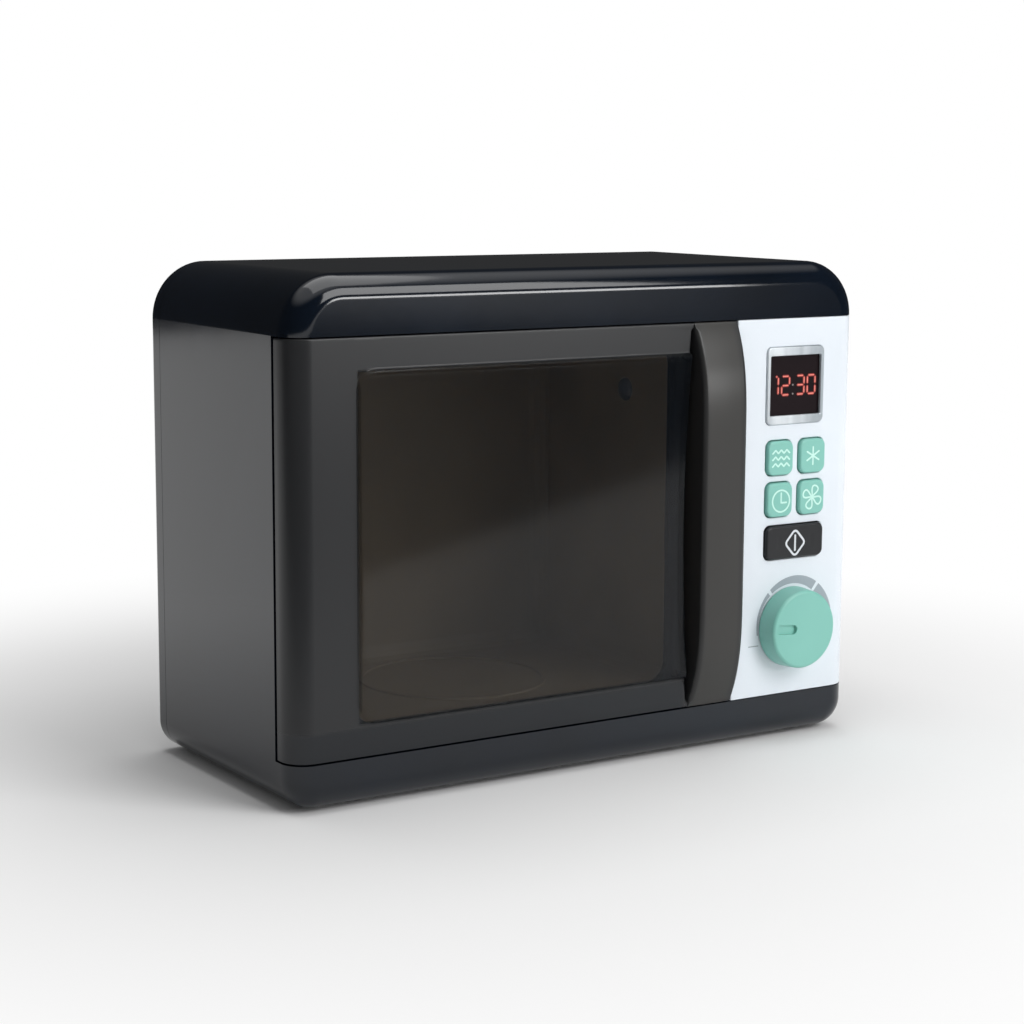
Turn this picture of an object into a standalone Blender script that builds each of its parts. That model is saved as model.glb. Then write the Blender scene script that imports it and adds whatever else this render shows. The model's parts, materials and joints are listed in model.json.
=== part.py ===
"""A toy microwave oven, modelled as its separate mouldings, metal pieces and electronics.

Metres, +Z up. The front faces -Y and +X is to the right of someone who faces it. The origin is
under the middle of the whole toy, at the height of the surface it stands on. A depth is measured
backwards from the front plane, so what stands proud of the front has a negative depth.
"""

import math

import bmesh
import bpy
from mathutils import Matrix, Vector

# Whole body
BODY_WIDTH = 0.332
BODY_HEIGHT = 0.248
BODY_DEPTH = 0.150
WALL = 0.0025
TOP_CORNER_RADIUS = 0.028
BOTTOM_CORNER_RADIUS = 0.015
FRONT_EDGE_RADIUS = 0.012
REAR_EDGE_RADIUS = 0.005
HOOD_HEIGHT = 0.028
SILL_HEIGHT = 0.024
FOOT_HEIGHT = 0.0015
FOOT_RADIUS = 0.008
FOOT_SIDE_INSET = 0.040
FOOT_END_INSET = 0.028
SEAT_GAP = 0.0003
OVERRUN = 0.002

# Door: one see-through moulding
DOOR_DEPTH = 0.015
DOOR_WALL = 0.0022
DOOR_GAP = 0.0006
HINGE_INSET = 0.010
PIN_RADIUS = 0.0025
PIN_LENGTH = 0.0045
PIN_CLEARANCE = 0.0004
PIN_BOSS_WALL = 0.0022
SWING_CLEARANCE = 0.0004
SIDE_LIP = 0.0010
STOP_OFFSET = 0.0080
WINDOW_SIDE_MARGIN = 0.0340
WINDOW_SILL_MARGIN = 0.0156
WINDOW_HOOD_MARGIN = 0.0150
WINDOW_CORNER = 0.010
WINDOW_PROUD = 0.0022
WINDOW_SLOPE = 0.0016
GRAB_WIDTH = 0.0274
GRAB_PROUD = 0.0092
GRAB_EASE = 0.032
GRAB_LEFT_EDGE_RADIUS = 0.0025
GRAB_RIGHT_EDGE_RADIUS = 0.0050
GROOVE_WIDTH = 0.0054
GROOVE_END_WIDTH = 0.0010
GROOVE_DEPTH = 0.010
GROOVE_END_DEPTH = 0.0012
GROOVE_EASE = 0.026
GROOVE_WALL = 0.0024
GROOVE_END_INSET = 0.0030
GROOVE_MIDDLE_RINGS = 5
CATCH_HEIGHT = 0.012
CATCH_REACH = 0.006
CATCH_CLEARANCE = 0.0012

# Oven cavity
OVEN_SIDE_MARGIN = 0.0410
OVEN_SEAM_MARGIN = 0.0302
OVEN_END_MARGIN = 0.0120
OVEN_CORNER = 0.010
LINER_WALL = 0.0020
LINER_FLANGE = 0.0060
LINER_DEPTH = 0.116
PLATE_RING_RADIUS = 0.0480
PLATE_RING_WIDTH = 0.0020
PLATE_RING_HEIGHT = 0.0010

# Cavity lamp
LENS_RADIUS = 0.0060
LENS_CLEARANCE = 0.0003
LENS_FLANGE = 0.0018
LENS_THICKNESS = 0.0014
LENS_CROWN = 0.0016
LENS_SLEEVE = 0.0060
LENS_SLEEVE_WALL = 0.0018
LAMP_SETBACK = 0.036
LAMP_DROP = 0.026
LAMP_CUP_WALL = 0.0018
LAMP_CUP_LENGTH = 0.0085
LED_RADIUS = 0.0025
LED_RIM = 0.0004
LED_LENGTH = 0.0075
LED_LEG_LENGTH = 0.0040
LED_LEG_THICKNESS = 0.0006
LED_LEG_PITCH = 0.0025

# Control panel
PANEL_WIDTH = 0.0798
PANEL_WALL = 0.0022
KEY_WIDTH = 0.0165
KEY_HEIGHT = 0.0176
KEY_RADIUS = 0.0040
KEY_PITCH_X = 0.0212
KEY_PITCH_Z = 0.0216
KEYS_SIDE_INSET = 0.0409
KEY_PROUD = 0.0020
KEY_EDGE = 0.0010
KEY_CLEARANCE = 0.00035
KEY_FLANGE = 0.0010
KEY_FLANGE_THICKNESS = 0.0015
KEY_PLUNGER_RADIUS = 0.0030
KEY_PLUNGER_LENGTH = 0.0010
START_WIDTH = 0.0375
START_HEIGHT = 0.0172
START_RADIUS = 0.0036
START_GAP = 0.0050
DIMPLE_RADIUS = 0.0034
DIMPLE_DEPTH = 0.0004
DIMPLE_OFFSET = 0.0115
BEZEL_WIDTH = 0.0372
BEZEL_HEIGHT = 0.0396
BEZEL_RADIUS = 0.0030
BEZEL_SIDE = 0.0022
BEZEL_TOP = 0.0045
BEZEL_PROUD = 0.0010
BEZEL_SINK = 0.0014
BEZEL_EDGE = 0.0006
BEZEL_RIM = 0.0008
BEZEL_SIDE_INSET = 0.0420
DISPLAY_SINK = 0.0004
DISPLAY_THICKNESS = 0.0020
DISPLAY_LEDGE = 0.0006
DISPLAY_FRAME_DEPTH = 0.0042
HOOD_GAP_SHARE = 0.2792
KEYS_GAP_SHARE = 0.1585
KNOB_GAP_SHARE = 0.2849

# Knob and its click
KNOB_SIDE_INSET = 0.0416
KNOB_RADIUS = 0.0210
KNOB_FACE_RADIUS = 0.0204
KNOB_PROUD = 0.0120
KNOB_EDGE = 0.0018
KNOB_WALL = 0.0020
KNOB_LIFT = 0.0006
KNOB_STEM_RADIUS = 0.0040
STEM_CLEARANCE = 0.0004
STEM_FLAT_SHARE = 0.70
COLLAR_WALL = 0.0022
COLLAR_LENGTH = 0.0066
SLOT_LENGTH = 0.0136
SLOT_WIDTH = 0.0050
SLOT_DEPTH = 0.0018
SLOT_OUTER_END = 0.0184
RATCHET_TEETH = 24
RATCHET_RADIUS = 0.0110
RATCHET_TOOTH = 0.0016
RATCHET_THICKNESS = 0.0038
CLICK_STRIP = 0.0005
CLICK_WIDTH = 0.0032
CLICK_LENGTH = 0.0230
CLICK_NOSE = 0.0017
CLICK_NOSE_BASE_SHARE = 1.05
CLICK_POST_WIDTH = 0.0030
CLICK_POST_HEIGHT = 0.0050

# Circuit board, keypad mat and board parts
BOARD_DEPTH = 0.0093
BOARD_THICKNESS = 0.0016
BOARD_SEAM_INSET = 0.0075
BOARD_SIDE_INSET = 0.0110
BOARD_HOOD_INSET = 0.0120
BOARD_START_DROP = 0.0187
BOARD_SCREW_INSET = 0.0036
BOARD_POST_RADIUS = 0.0026
MAT_THICKNESS = 0.0012
MAT_MARGIN = 0.0032
DOME_RADIUS = 0.0050
DOME_TOP_RADIUS = 0.0036
DOME_HEIGHT = 0.0025
DOME_SKIN = 0.0012
CHIP_RADIUS = 0.0060
CHIP_HEIGHT = 0.0016
CHIP_DROP = 0.040

# Screws
KNOB_SCREW_HEAD_RADIUS = 0.0056
SCREW_HEAD_RADIUS = 0.0028
SCREW_HEAD_HEIGHT = 0.0020
SCREW_SHANK_RADIUS = 0.0012
SCREW_LENGTH = 0.0100
SCREW_PILOT_RADIUS = 0.0016
SCREW_HOLE_RADIUS = 0.0018
SCREW_BOSS_RADIUS = 0.0030
PANEL_SCREW_INSET = 0.0062
PANEL_SCREW_SIDE_INSET = 0.0156
PANEL_SCREW_LENGTH = 0.0120
BOARD_SCREW_LENGTH = 0.0060

# Rear cover
COVER_DEPTH = 0.012
COVER_POST_RADIUS = 0.0042
COVER_POST_LENGTH = 0.030
COVER_POST_INSET = 0.0028
COVER_POST_WEB = 0.0030
COVER_SCREW_SINK = 0.0070
COVER_SCREW_LENGTH = 0.0150
COVER_SCREW_LOW = 0.052
COVER_SCREW_DROP = 0.044
COUNTERBORE_RADIUS = 0.0034
VENT_COUNT = 7
VENT_LENGTH = 0.046
VENT_WIDTH = 0.0030
VENT_PITCH = 0.0080
VENT_DROP = 0.098
VENT_COLUMN_SHARES = (0.2486, 0.6354)

# Battery bay for two AA cells
CELL_RADIUS = 0.00725
CELL_LENGTH = 0.0492
CELL_NUB_RADIUS = 0.0027
CELL_NUB_HEIGHT = 0.0013
CELL_PITCH = 0.0154
CELL_CLEARANCE = 0.0006
CONTACT_ROOM = 0.0036
CONTACT_STRIP = 0.0005
CONTACT_WIDTH = 0.0080
CONTACT_HEIGHT = 0.0080
BAY_WALL = 0.0018
BAY_SIDE_INSET = 0.0530
BAY_CENTRE_Z = 0.0720
HATCH_THICKNESS = 0.0020
HATCH_MARGIN = 0.0035
HATCH_TAIL = 0.0140
HATCH_PAD_RADIUS = 0.0048
HATCH_PAD_DEPTH = 0.0045
HATCH_SHELF = 0.0032
HATCH_SCREW_LENGTH = 0.0080
HATCH_SCREW_BOSS = 0.0036
HATCH_TAB_WIDTH = 0.0070
HATCH_TAB_THICKNESS = 0.0013
HATCH_TAB_REACH = 0.0014
HATCH_TAB_ROOT = 0.0025
HATCH_TAB_OFFSET = 0.0090

# Speaker
SPEAKER_SIDE_INSET = 0.0530
SPEAKER_DROP = 0.0780
SPEAKER_RADIUS = 0.0200
SPEAKER_RIM = 0.0020
SPEAKER_RIM_THICKNESS = 0.0015
SPEAKER_BASKET_DEPTH = 0.0070
SPEAKER_SKIN = 0.0010
MAGNET_RADIUS = 0.0110
MAGNET_DEPTH = 0.0060
CONE_THROAT_RADIUS = 0.0060
CONE_SKIN = 0.0006
CONE_GAP_SHARE = 1.5
SPEAKER_RING_WALL = 0.0018
SPEAKER_RING_LENGTH = 0.0050
GRILLE_HOLE_RADIUS = 0.0016
GRILLE_PITCH = 0.0056
GRILLE_RINGS = 2

# Posts that hold the cavity against the frame
STAY_RADIUS = 0.0045
STAY_SIDE_INSET = 0.016
STAY_END_INSET = 0.020

# Inner wires
LEAD_RADIUS = 0.0008
LEAD_HOLE_CLEARANCE = 0.0004
LEAD_BELLY = 0.022
LEAD_STEP = 0.0070
RED_PAD_INSET = 0.0360
BLACK_PAD_INSET = 0.0580
LEAD_PAD_RISE = 0.0100
SPEAKER_PAD_INSET = 0.0300
SPEAKER_PAD_DROP = 0.0580
LED_PAD_INSET = 0.0113

# Segments
CORNER_STEPS = 7
SMALL_CORNER_STEPS = 4
EDGE_STEPS = 5
ROUND_SIDES = 40
SMALL_ROUND_SIDES = 16
TINY_ROUND_SIDES = 8
HOLE_SIDES = 6
CLEAN_DISTANCE = 0.000001
LEAST_CORNER_SHARE = 0.25
SHARP_ANGLE = math.radians(35)

# Places worked out from the sizes above
FRONT = (KNOB_PROUD - BODY_DEPTH) / 2
REAR = FRONT + BODY_DEPTH
LEFT = -BODY_WIDTH / 2
RIGHT = BODY_WIDTH / 2
HOOD_Z = BODY_HEIGHT - HOOD_HEIGHT
SEAM_X = RIGHT - PANEL_WIDTH
RECESS_DEPTH = DOOR_DEPTH + SEAT_GAP
FRAME_BACK = RECESS_DEPTH + WALL
HINGE_X = LEFT + HINGE_INSET
HINGE_Y = FRONT + HINGE_INSET
SWING_RADIUS = math.hypot(HINGE_INSET, DOOR_DEPTH - HINGE_INSET) + SWING_CLEARANCE
LIP_DEPTH = HINGE_INSET + math.sqrt(SWING_RADIUS**2 - (HINGE_INSET - SIDE_LIP) ** 2)
DOOR_LOW = SILL_HEIGHT + DOOR_GAP
DOOR_HIGH = HOOD_Z - DOOR_GAP
DOOR_RIGHT = SEAM_X - DOOR_GAP / 2
GRAB_LEFT = DOOR_RIGHT - GRAB_WIDTH
PANEL_LEFT = SEAM_X + DOOR_GAP / 2
PANEL_LOW = SILL_HEIGHT + SEAT_GAP
PANEL_HIGH = HOOD_Z - SEAT_GAP
MIDDLE_Z = (DOOR_LOW + DOOR_HIGH) / 2
WINDOW_LEFT = LEFT + WINDOW_SIDE_MARGIN
WINDOW_BOTTOM = SILL_HEIGHT + WINDOW_SILL_MARGIN
WINDOW_TOP = HOOD_Z - WINDOW_HOOD_MARGIN
OVEN_LEFT = LEFT + OVEN_SIDE_MARGIN
OVEN_RIGHT = SEAM_X - OVEN_SEAM_MARGIN
OVEN_BOTTOM = SILL_HEIGHT + OVEN_END_MARGIN
OVEN_TOP = HOOD_Z - OVEN_END_MARGIN
SPLIT = REAR - COVER_DEPTH
KEY_BLOCK_HEIGHT = KEY_PITCH_Z + KEY_HEIGHT
USED_HEIGHT = BEZEL_HEIGHT + KEY_BLOCK_HEIGHT + START_GAP + START_HEIGHT + 2 * KNOB_RADIUS
FREE_HEIGHT = HOOD_Z - SILL_HEIGHT - USED_HEIGHT
BEZEL_CENTRE_X = RIGHT - BEZEL_SIDE_INSET
BEZEL_CENTRE_Z = HOOD_Z - FREE_HEIGHT * HOOD_GAP_SHARE - BEZEL_HEIGHT / 2
KEYS_CENTRE_X = RIGHT - KEYS_SIDE_INSET
KEYS_CENTRE_Z = BEZEL_CENTRE_Z - BEZEL_HEIGHT / 2 - FREE_HEIGHT * KEYS_GAP_SHARE - KEY_BLOCK_HEIGHT / 2
START_CENTRE_Z = KEYS_CENTRE_Z - KEY_BLOCK_HEIGHT / 2 - START_GAP - START_HEIGHT / 2
KNOB_X = RIGHT - KNOB_SIDE_INSET
KNOB_Z = START_CENTRE_Z - START_HEIGHT / 2 - FREE_HEIGHT * KNOB_GAP_SHARE - KNOB_RADIUS
BOARD_LEFT = PANEL_LEFT + BOARD_SEAM_INSET
BOARD_RIGHT = RIGHT - BOARD_SIDE_INSET
BOARD_BOTTOM = START_CENTRE_Z - BOARD_START_DROP
BOARD_TOP = HOOD_Z - BOARD_HOOD_INSET
BOARD_FACE = FRONT + BOARD_DEPTH
BOARD_BACK = BOARD_FACE + BOARD_THICKNESS
MAT_BACK = BOARD_FACE - SEAT_GAP
MAT_FACE = MAT_BACK - MAT_THICKNESS
LINER_FRONT = FRONT + FRAME_BACK + SEAT_GAP
LAMP_Y = LINER_FRONT + LAMP_SETBACK
LAMP_Z = OVEN_TOP - LAMP_DROP
KEY_FLANGE_DEPTH = PANEL_WALL + SEAT_GAP
COVER_SCREW_HIGH = BODY_HEIGHT - COVER_SCREW_DROP
VENT_CENTRE_Z = BODY_HEIGHT - VENT_DROP
SPEAKER_X = RIGHT - SPEAKER_SIDE_INSET
SPEAKER_Z = BODY_HEIGHT - SPEAKER_DROP
CELL_TOTAL = CELL_LENGTH + CELL_NUB_HEIGHT
BAY_CENTRE_X = RIGHT - BAY_SIDE_INSET
BAY_HALF_WIDTH = CELL_PITCH / 2 + CELL_RADIUS + CELL_CLEARANCE
BAY_HALF_HEIGHT = CELL_TOTAL / 2 + CONTACT_ROOM
BAY_DEPTH = HATCH_THICKNESS + 2 * CELL_RADIUS + 2 * CELL_CLEARANCE + SEAT_GAP
BAY_LOW = BAY_CENTRE_Z - BAY_HALF_HEIGHT
BAY_HIGH = BAY_CENTRE_Z + BAY_HALF_HEIGHT
CELL_Y = REAR - HATCH_THICKNESS - SEAT_GAP - CELL_CLEARANCE - CELL_RADIUS
RATCHET_FACE = FRONT + PANEL_WALL + COLLAR_LENGTH + SEAT_GAP
RATCHET_BACK = RATCHET_FACE + RATCHET_THICKNESS

KEYS = {
    "button_waves": (-1, 1),
    "button_defrost": (1, 1),
    "button_timer": (-1, -1),
    "button_fan": (1, -1),
}


# Materials

def finish(name, colour, roughness, metallic=0.0, alpha=1.0, transmission=0.0):
    """A plain Principled BSDF material."""
    material = bpy.data.materials.get(name) or bpy.data.materials.new(name)
    material.use_nodes = True
    shader = material.node_tree.nodes["Principled BSDF"]
    shader.inputs["Base Color"].default_value = (*colour, 1.0)
    shader.inputs["Roughness"].default_value = roughness
    shader.inputs["Metallic"].default_value = metallic
    shader.inputs["Alpha"].default_value = alpha
    shader.inputs["Transmission Weight"].default_value = transmission
    return material


def gloss_black():
    return finish("gloss black polystyrene", (0.004, 0.006, 0.009), 0.12)


def smoked_clear():
    return finish("smoked polystyrene", (0.030, 0.029, 0.029), 0.30, transmission=0.5)


def white_plastic():
    return finish("white polystyrene", (0.80, 0.85, 0.90), 0.30)


def mint_plastic():
    return finish("mint polystyrene", (0.22, 0.60, 0.48), 0.40)


def black_plastic():
    return finish("black polystyrene", (0.010, 0.010, 0.011), 0.45)


def silver_plate():
    return finish("silver plated plastic", (0.62, 0.64, 0.66), 0.28, metallic=1.0)


def spring_steel():
    return finish("nickel plated spring steel", (0.55, 0.55, 0.54), 0.25, metallic=1.0)


def zinc_steel():
    return finish("zinc plated steel", (0.50, 0.51, 0.53), 0.35, metallic=1.0)


def acetal():
    return finish("natural acetal", (0.75, 0.74, 0.70), 0.45)


def silicone():
    return finish("grey silicone rubber", (0.30, 0.31, 0.32), 0.60)


def board_laminate():
    return finish("phenolic board", (0.30, 0.17, 0.06), 0.50)


def cell_sleeve():
    return finish("battery sleeve", (0.05, 0.12, 0.30), 0.35)


def wire_cover(name, colour):
    return finish(name, colour, 0.45)


# Shape tools

def on_plan(u, v, w):
    """Outline in plan (X, Y), carried along Z."""
    return Vector((u, v, w))


def on_front(u, v, w):
    """Outline seen from the front (X, Z), carried along Y."""
    return Vector((u, w, v))


def on_side(u, v, w):
    """Outline seen from the side (Y, Z), carried along X."""
    return Vector((w, u, v))


def arc(centre, radius, start_share, end_share, steps):
    """Points of an arc, its ends given as shares of a full turn."""
    points = []
    for i in range(steps + 1):
        turn = 2 * math.pi * (start_share + (end_share - start_share) * i / steps)
        points.append((centre[0] + radius * math.cos(turn), centre[1] + radius * math.sin(turn)))
    return points


def rounded_outline(low, high, radii, steps):
    """A rectangle with rounded corners, from its lower left one anticlockwise."""
    outline = []
    corners = (
        (low[0], low[1], 0.5),
        (high[0], low[1], 0.75),
        (high[0], high[1], 0.0),
        (low[0], high[1], 0.25),
    )
    for (u, v, start_share), radius in zip(corners, radii):
        centre_u = u + radius if u == low[0] else u - radius
        centre_v = v + radius if v == low[1] else v - radius
        outline += arc((centre_u, centre_v), radius, start_share, start_share + 0.25, steps)
    return outline


def add_box(bm, low, high):
    size = Vector(high) - Vector(low)
    middle = (Vector(high) + Vector(low)) / 2
    bmesh.ops.create_cube(bm, size=1, matrix=Matrix.Translation(middle) @ Matrix.Diagonal((*size, 1)))


def add_rod(bm, start, end, radius, sides=SMALL_ROUND_SIDES, end_radius=None):
    """A straight rod or cone between two points."""
    start, end = Vector(start), Vector(end)
    along = end - start
    turn = along.to_track_quat("Z", "Y").to_matrix().to_4x4()
    bmesh.ops.create_cone(
        bm,
        cap_ends=True,
        segments=sides,
        radius1=radius,
        radius2=radius if end_radius is None else end_radius,
        depth=along.length,
        matrix=Matrix.Translation((start + end) / 2) @ turn,
    )


def add_loft(bm, rings):
    """A closed solid through rings of as many points each."""
    loops = [[bm.verts.new(point) for point in ring] for ring in rings]
    count = len(loops[0])
    for one, other in zip(loops, loops[1:]):
        for i in range(count):
            j = (i + 1) % count
            bm.faces.new((one[i], one[j], other[j], other[i]))
    bm.faces.new(loops[0][::-1])
    bm.faces.new(loops[-1])


def add_prism(bm, outline, plane, low, high):
    add_loft(bm, [[plane(u, v, w) for u, v in outline] for w in (low, high)])


def add_turned(bm, profile, place, sides, closed=False):
    """Spins a profile of (radius, height) points about the Z axis and moves it by the matrix place."""
    turned = bmesh.new()
    points = [turned.verts.new((radius, 0, height)) for radius, height in profile]
    edges = [turned.edges.new(pair) for pair in zip(points, points[1:])]
    if closed:
        edges.append(turned.edges.new((points[-1], points[0])))
    bmesh.ops.spin(
        turned,
        geom=points + edges,
        cent=(0, 0, 0),
        axis=(0, 0, 1),
        angle=2 * math.pi,
        steps=sides,
    )
    bmesh.ops.remove_doubles(turned, verts=turned.verts[:], dist=CLEAN_DISTANCE)
    bmesh.ops.transform(turned, matrix=place, verts=turned.verts[:])
    copy = bpy.data.meshes.new("turned")
    turned.to_mesh(copy)
    turned.free()
    bm.from_mesh(copy)
    bpy.data.meshes.remove(copy)


def facing(axis, place):
    """A matrix that turns +Z to an axis and moves the origin to a place."""
    turn = Vector(axis).to_track_quat("Z", "Y").to_matrix().to_4x4()
    return Matrix.Translation(place) @ turn


def mesh_of(name, build):
    """A mesh holding what build adds, with its faces outwards."""
    bm = bmesh.new()
    build(bm)
    bmesh.ops.recalc_face_normals(bm, faces=bm.faces[:])
    mesh = bpy.data.meshes.new(name)
    bm.to_mesh(mesh)
    bm.free()
    return mesh


def place_object(name, mesh, material, location=(0, 0, 0), rotation=(0, 0, 0)):
    obj = bpy.data.objects.new(name, mesh)
    bpy.context.scene.collection.objects.link(obj)
    obj.location = location
    obj.rotation_euler = rotation
    if material and not mesh.materials:
        mesh.materials.append(material)
        mesh.shade_smooth()
        mesh.set_sharp_from_angle(angle=SHARP_ANGLE)
    return obj


def new_piece(name, build, material):
    return place_object(name, mesh_of(name, build), material)


def shape_with(target, operation, label, build):
    """Cuts from the target, or joins to it, what build adds."""
    name = f"{target.name} {label}"
    helper = place_object(name, mesh_of(name, build), None)
    helper.hide_render = True
    helper.display_type = "WIRE"
    modifier = target.modifiers.new(label, "BOOLEAN")
    modifier.operation = operation
    modifier.solver = "EXACT"
    modifier.use_self = True
    modifier.object = helper
    return helper


def cut(target, label, build):
    return shape_with(target, "DIFFERENCE", label, build)


def join(target, label, build):
    return shape_with(target, "UNION", label, build)


def put_origin_at(obj, place):
    """Moves a piece's origin to its joint's axis and leaves its shape where it is."""
    obj.data.transform(Matrix.Translation(-Vector(place)))
    obj.location = place


def rounded_rings(low, high, radius, stations, steps=SMALL_CORNER_STEPS):
    """Rings of a rounded rectangle seen from the front, one for each (inset, y) station."""
    rings = []
    for inset, y in stations:
        corner = max(radius - inset, radius * LEAST_CORNER_SHARE)
        inset_low = (low[0] + inset, low[1] + inset)
        inset_high = (high[0] - inset, high[1] - inset)
        outline = rounded_outline(inset_low, inset_high, (corner,) * 4, steps)
        rings.append([on_front(u, v, y) for u, v in outline])
    return rings


def quarter_stations(radius, start, steps, direction):
    """(inset, y) stations of a rounded edge that meets its face at start."""
    stations = []
    for i in range(steps + 1):
        turn = math.pi / 2 * i / steps
        stations.append((radius * (1 - math.sin(turn)), start + direction * radius * (1 - math.cos(turn))))
    return stations


# Body outline

def body_ring(inset, y):
    top = TOP_CORNER_RADIUS - inset
    bottom = BOTTOM_CORNER_RADIUS - inset
    outline = rounded_outline(
        (LEFT + inset, FOOT_HEIGHT + inset),
        (RIGHT - inset, BODY_HEIGHT - inset),
        (bottom, bottom, top, top),
        CORNER_STEPS,
    )
    return [on_front(u, v, y) for u, v in outline]


def body_rings(skin, end):
    """Rings of the sleeve's form, a skin's thickness inside it, from the front edge to end."""
    stations = quarter_stations(FRONT_EDGE_RADIUS - skin, FRONT + skin, EDGE_STEPS, 1)
    rings = [body_ring(skin + inset, y) for inset, y in stations]
    rings.append(body_ring(skin, end))
    return rings


def recess_shapes(bm, skin):
    """The space for door and panel, with the round pocket that the door's edge turns in."""
    reach = OVERRUN + skin
    low = SILL_HEIGHT - skin
    high = HOOD_Z + skin
    add_box(bm, (LEFT - reach, FRONT - reach, low), (RIGHT + reach, FRONT + RECESS_DEPTH + skin, high))


def pocket_outline(skin):
    """The pocket in plan: a round about the hinge, stopped by a flat that halts the door."""
    radius = SWING_RADIUS + skin
    flat = STOP_OFFSET + skin
    half_share = math.acos(flat / radius) / (2 * math.pi)
    return arc((HINGE_X, HINGE_Y), radius, half_share, 1 - half_share, CORNER_STEPS * 4)


def screw_places():
    """X and Z of the rear cover's six screws."""
    inner = WALL + COVER_POST_RADIUS + COVER_POST_INSET
    side = RIGHT - inner
    return [
        (-side, COVER_SCREW_LOW),
        (side, COVER_SCREW_LOW),
        (-side, COVER_SCREW_HIGH),
        (side, COVER_SCREW_HIGH),
        (0, FOOT_HEIGHT + inner),
        (0, BODY_HEIGHT - inner),
    ]


def add_screw_posts(bm, start, end):
    """A post for each of the rear cover's screws, with a web to the nearest wall."""
    half = COVER_POST_WEB / 2
    for x, z in screw_places():
        add_rod(bm, (x, start, z), (x, end, z), COVER_POST_RADIUS, TINY_ROUND_SIDES)
        if x:
            edge = math.copysign(RIGHT - WALL / 2, x)
            low, high = (min(x, edge), start, z - half), (max(x, edge), end, z + half)
        else:
            edge = WALL / 2 + FOOT_HEIGHT if z < BODY_HEIGHT / 2 else BODY_HEIGHT - WALL / 2
            low, high = (x - half, start, min(z, edge)), (x + half, end, max(z, edge))
        add_box(bm, low, high)


def panel_screw_places():
    """X and Z of the four screws that hold the panel from behind the frame."""
    inset = PANEL_WALL + PANEL_SCREW_INSET
    return [
        (x, z)
        for x in (PANEL_LEFT + inset, RIGHT - PANEL_SCREW_SIDE_INSET)
        for z in (PANEL_LOW + inset, PANEL_HIGH - inset)
    ]


def board_screw_places():
    return [
        (x, z)
        for x in (BOARD_LEFT + BOARD_SCREW_INSET, BOARD_RIGHT - BOARD_SCREW_INSET)
        for z in (BOARD_BOTTOM + BOARD_SCREW_INSET, BOARD_TOP - BOARD_SCREW_INSET)
    ]


def foot_places():
    return [
        (x, y)
        for x in (LEFT + FOOT_SIDE_INSET, RIGHT - FOOT_SIDE_INSET)
        for y in (FRONT + FOOT_END_INSET, REAR - FOOT_END_INSET)
    ]


# Housing

def housing_hollow():
    """The inside of the sleeve, kept a wall away from the front recess."""
    mesh = mesh_of("housing hollow", lambda bm: add_loft(bm, body_rings(WALL, SPLIT + OVERRUN)))
    hollow = place_object(mesh.name, mesh, None)
    hollow.hide_render = True
    hollow.display_type = "WIRE"
    cut(hollow, "recess wall", lambda bm: recess_shapes(bm, WALL))
    cut(
        hollow,
        "pocket wall",
        lambda bm: add_prism(bm, pocket_outline(WALL), on_plan, SILL_HEIGHT - WALL, HOOD_Z + WALL),
    )
    return hollow


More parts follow.
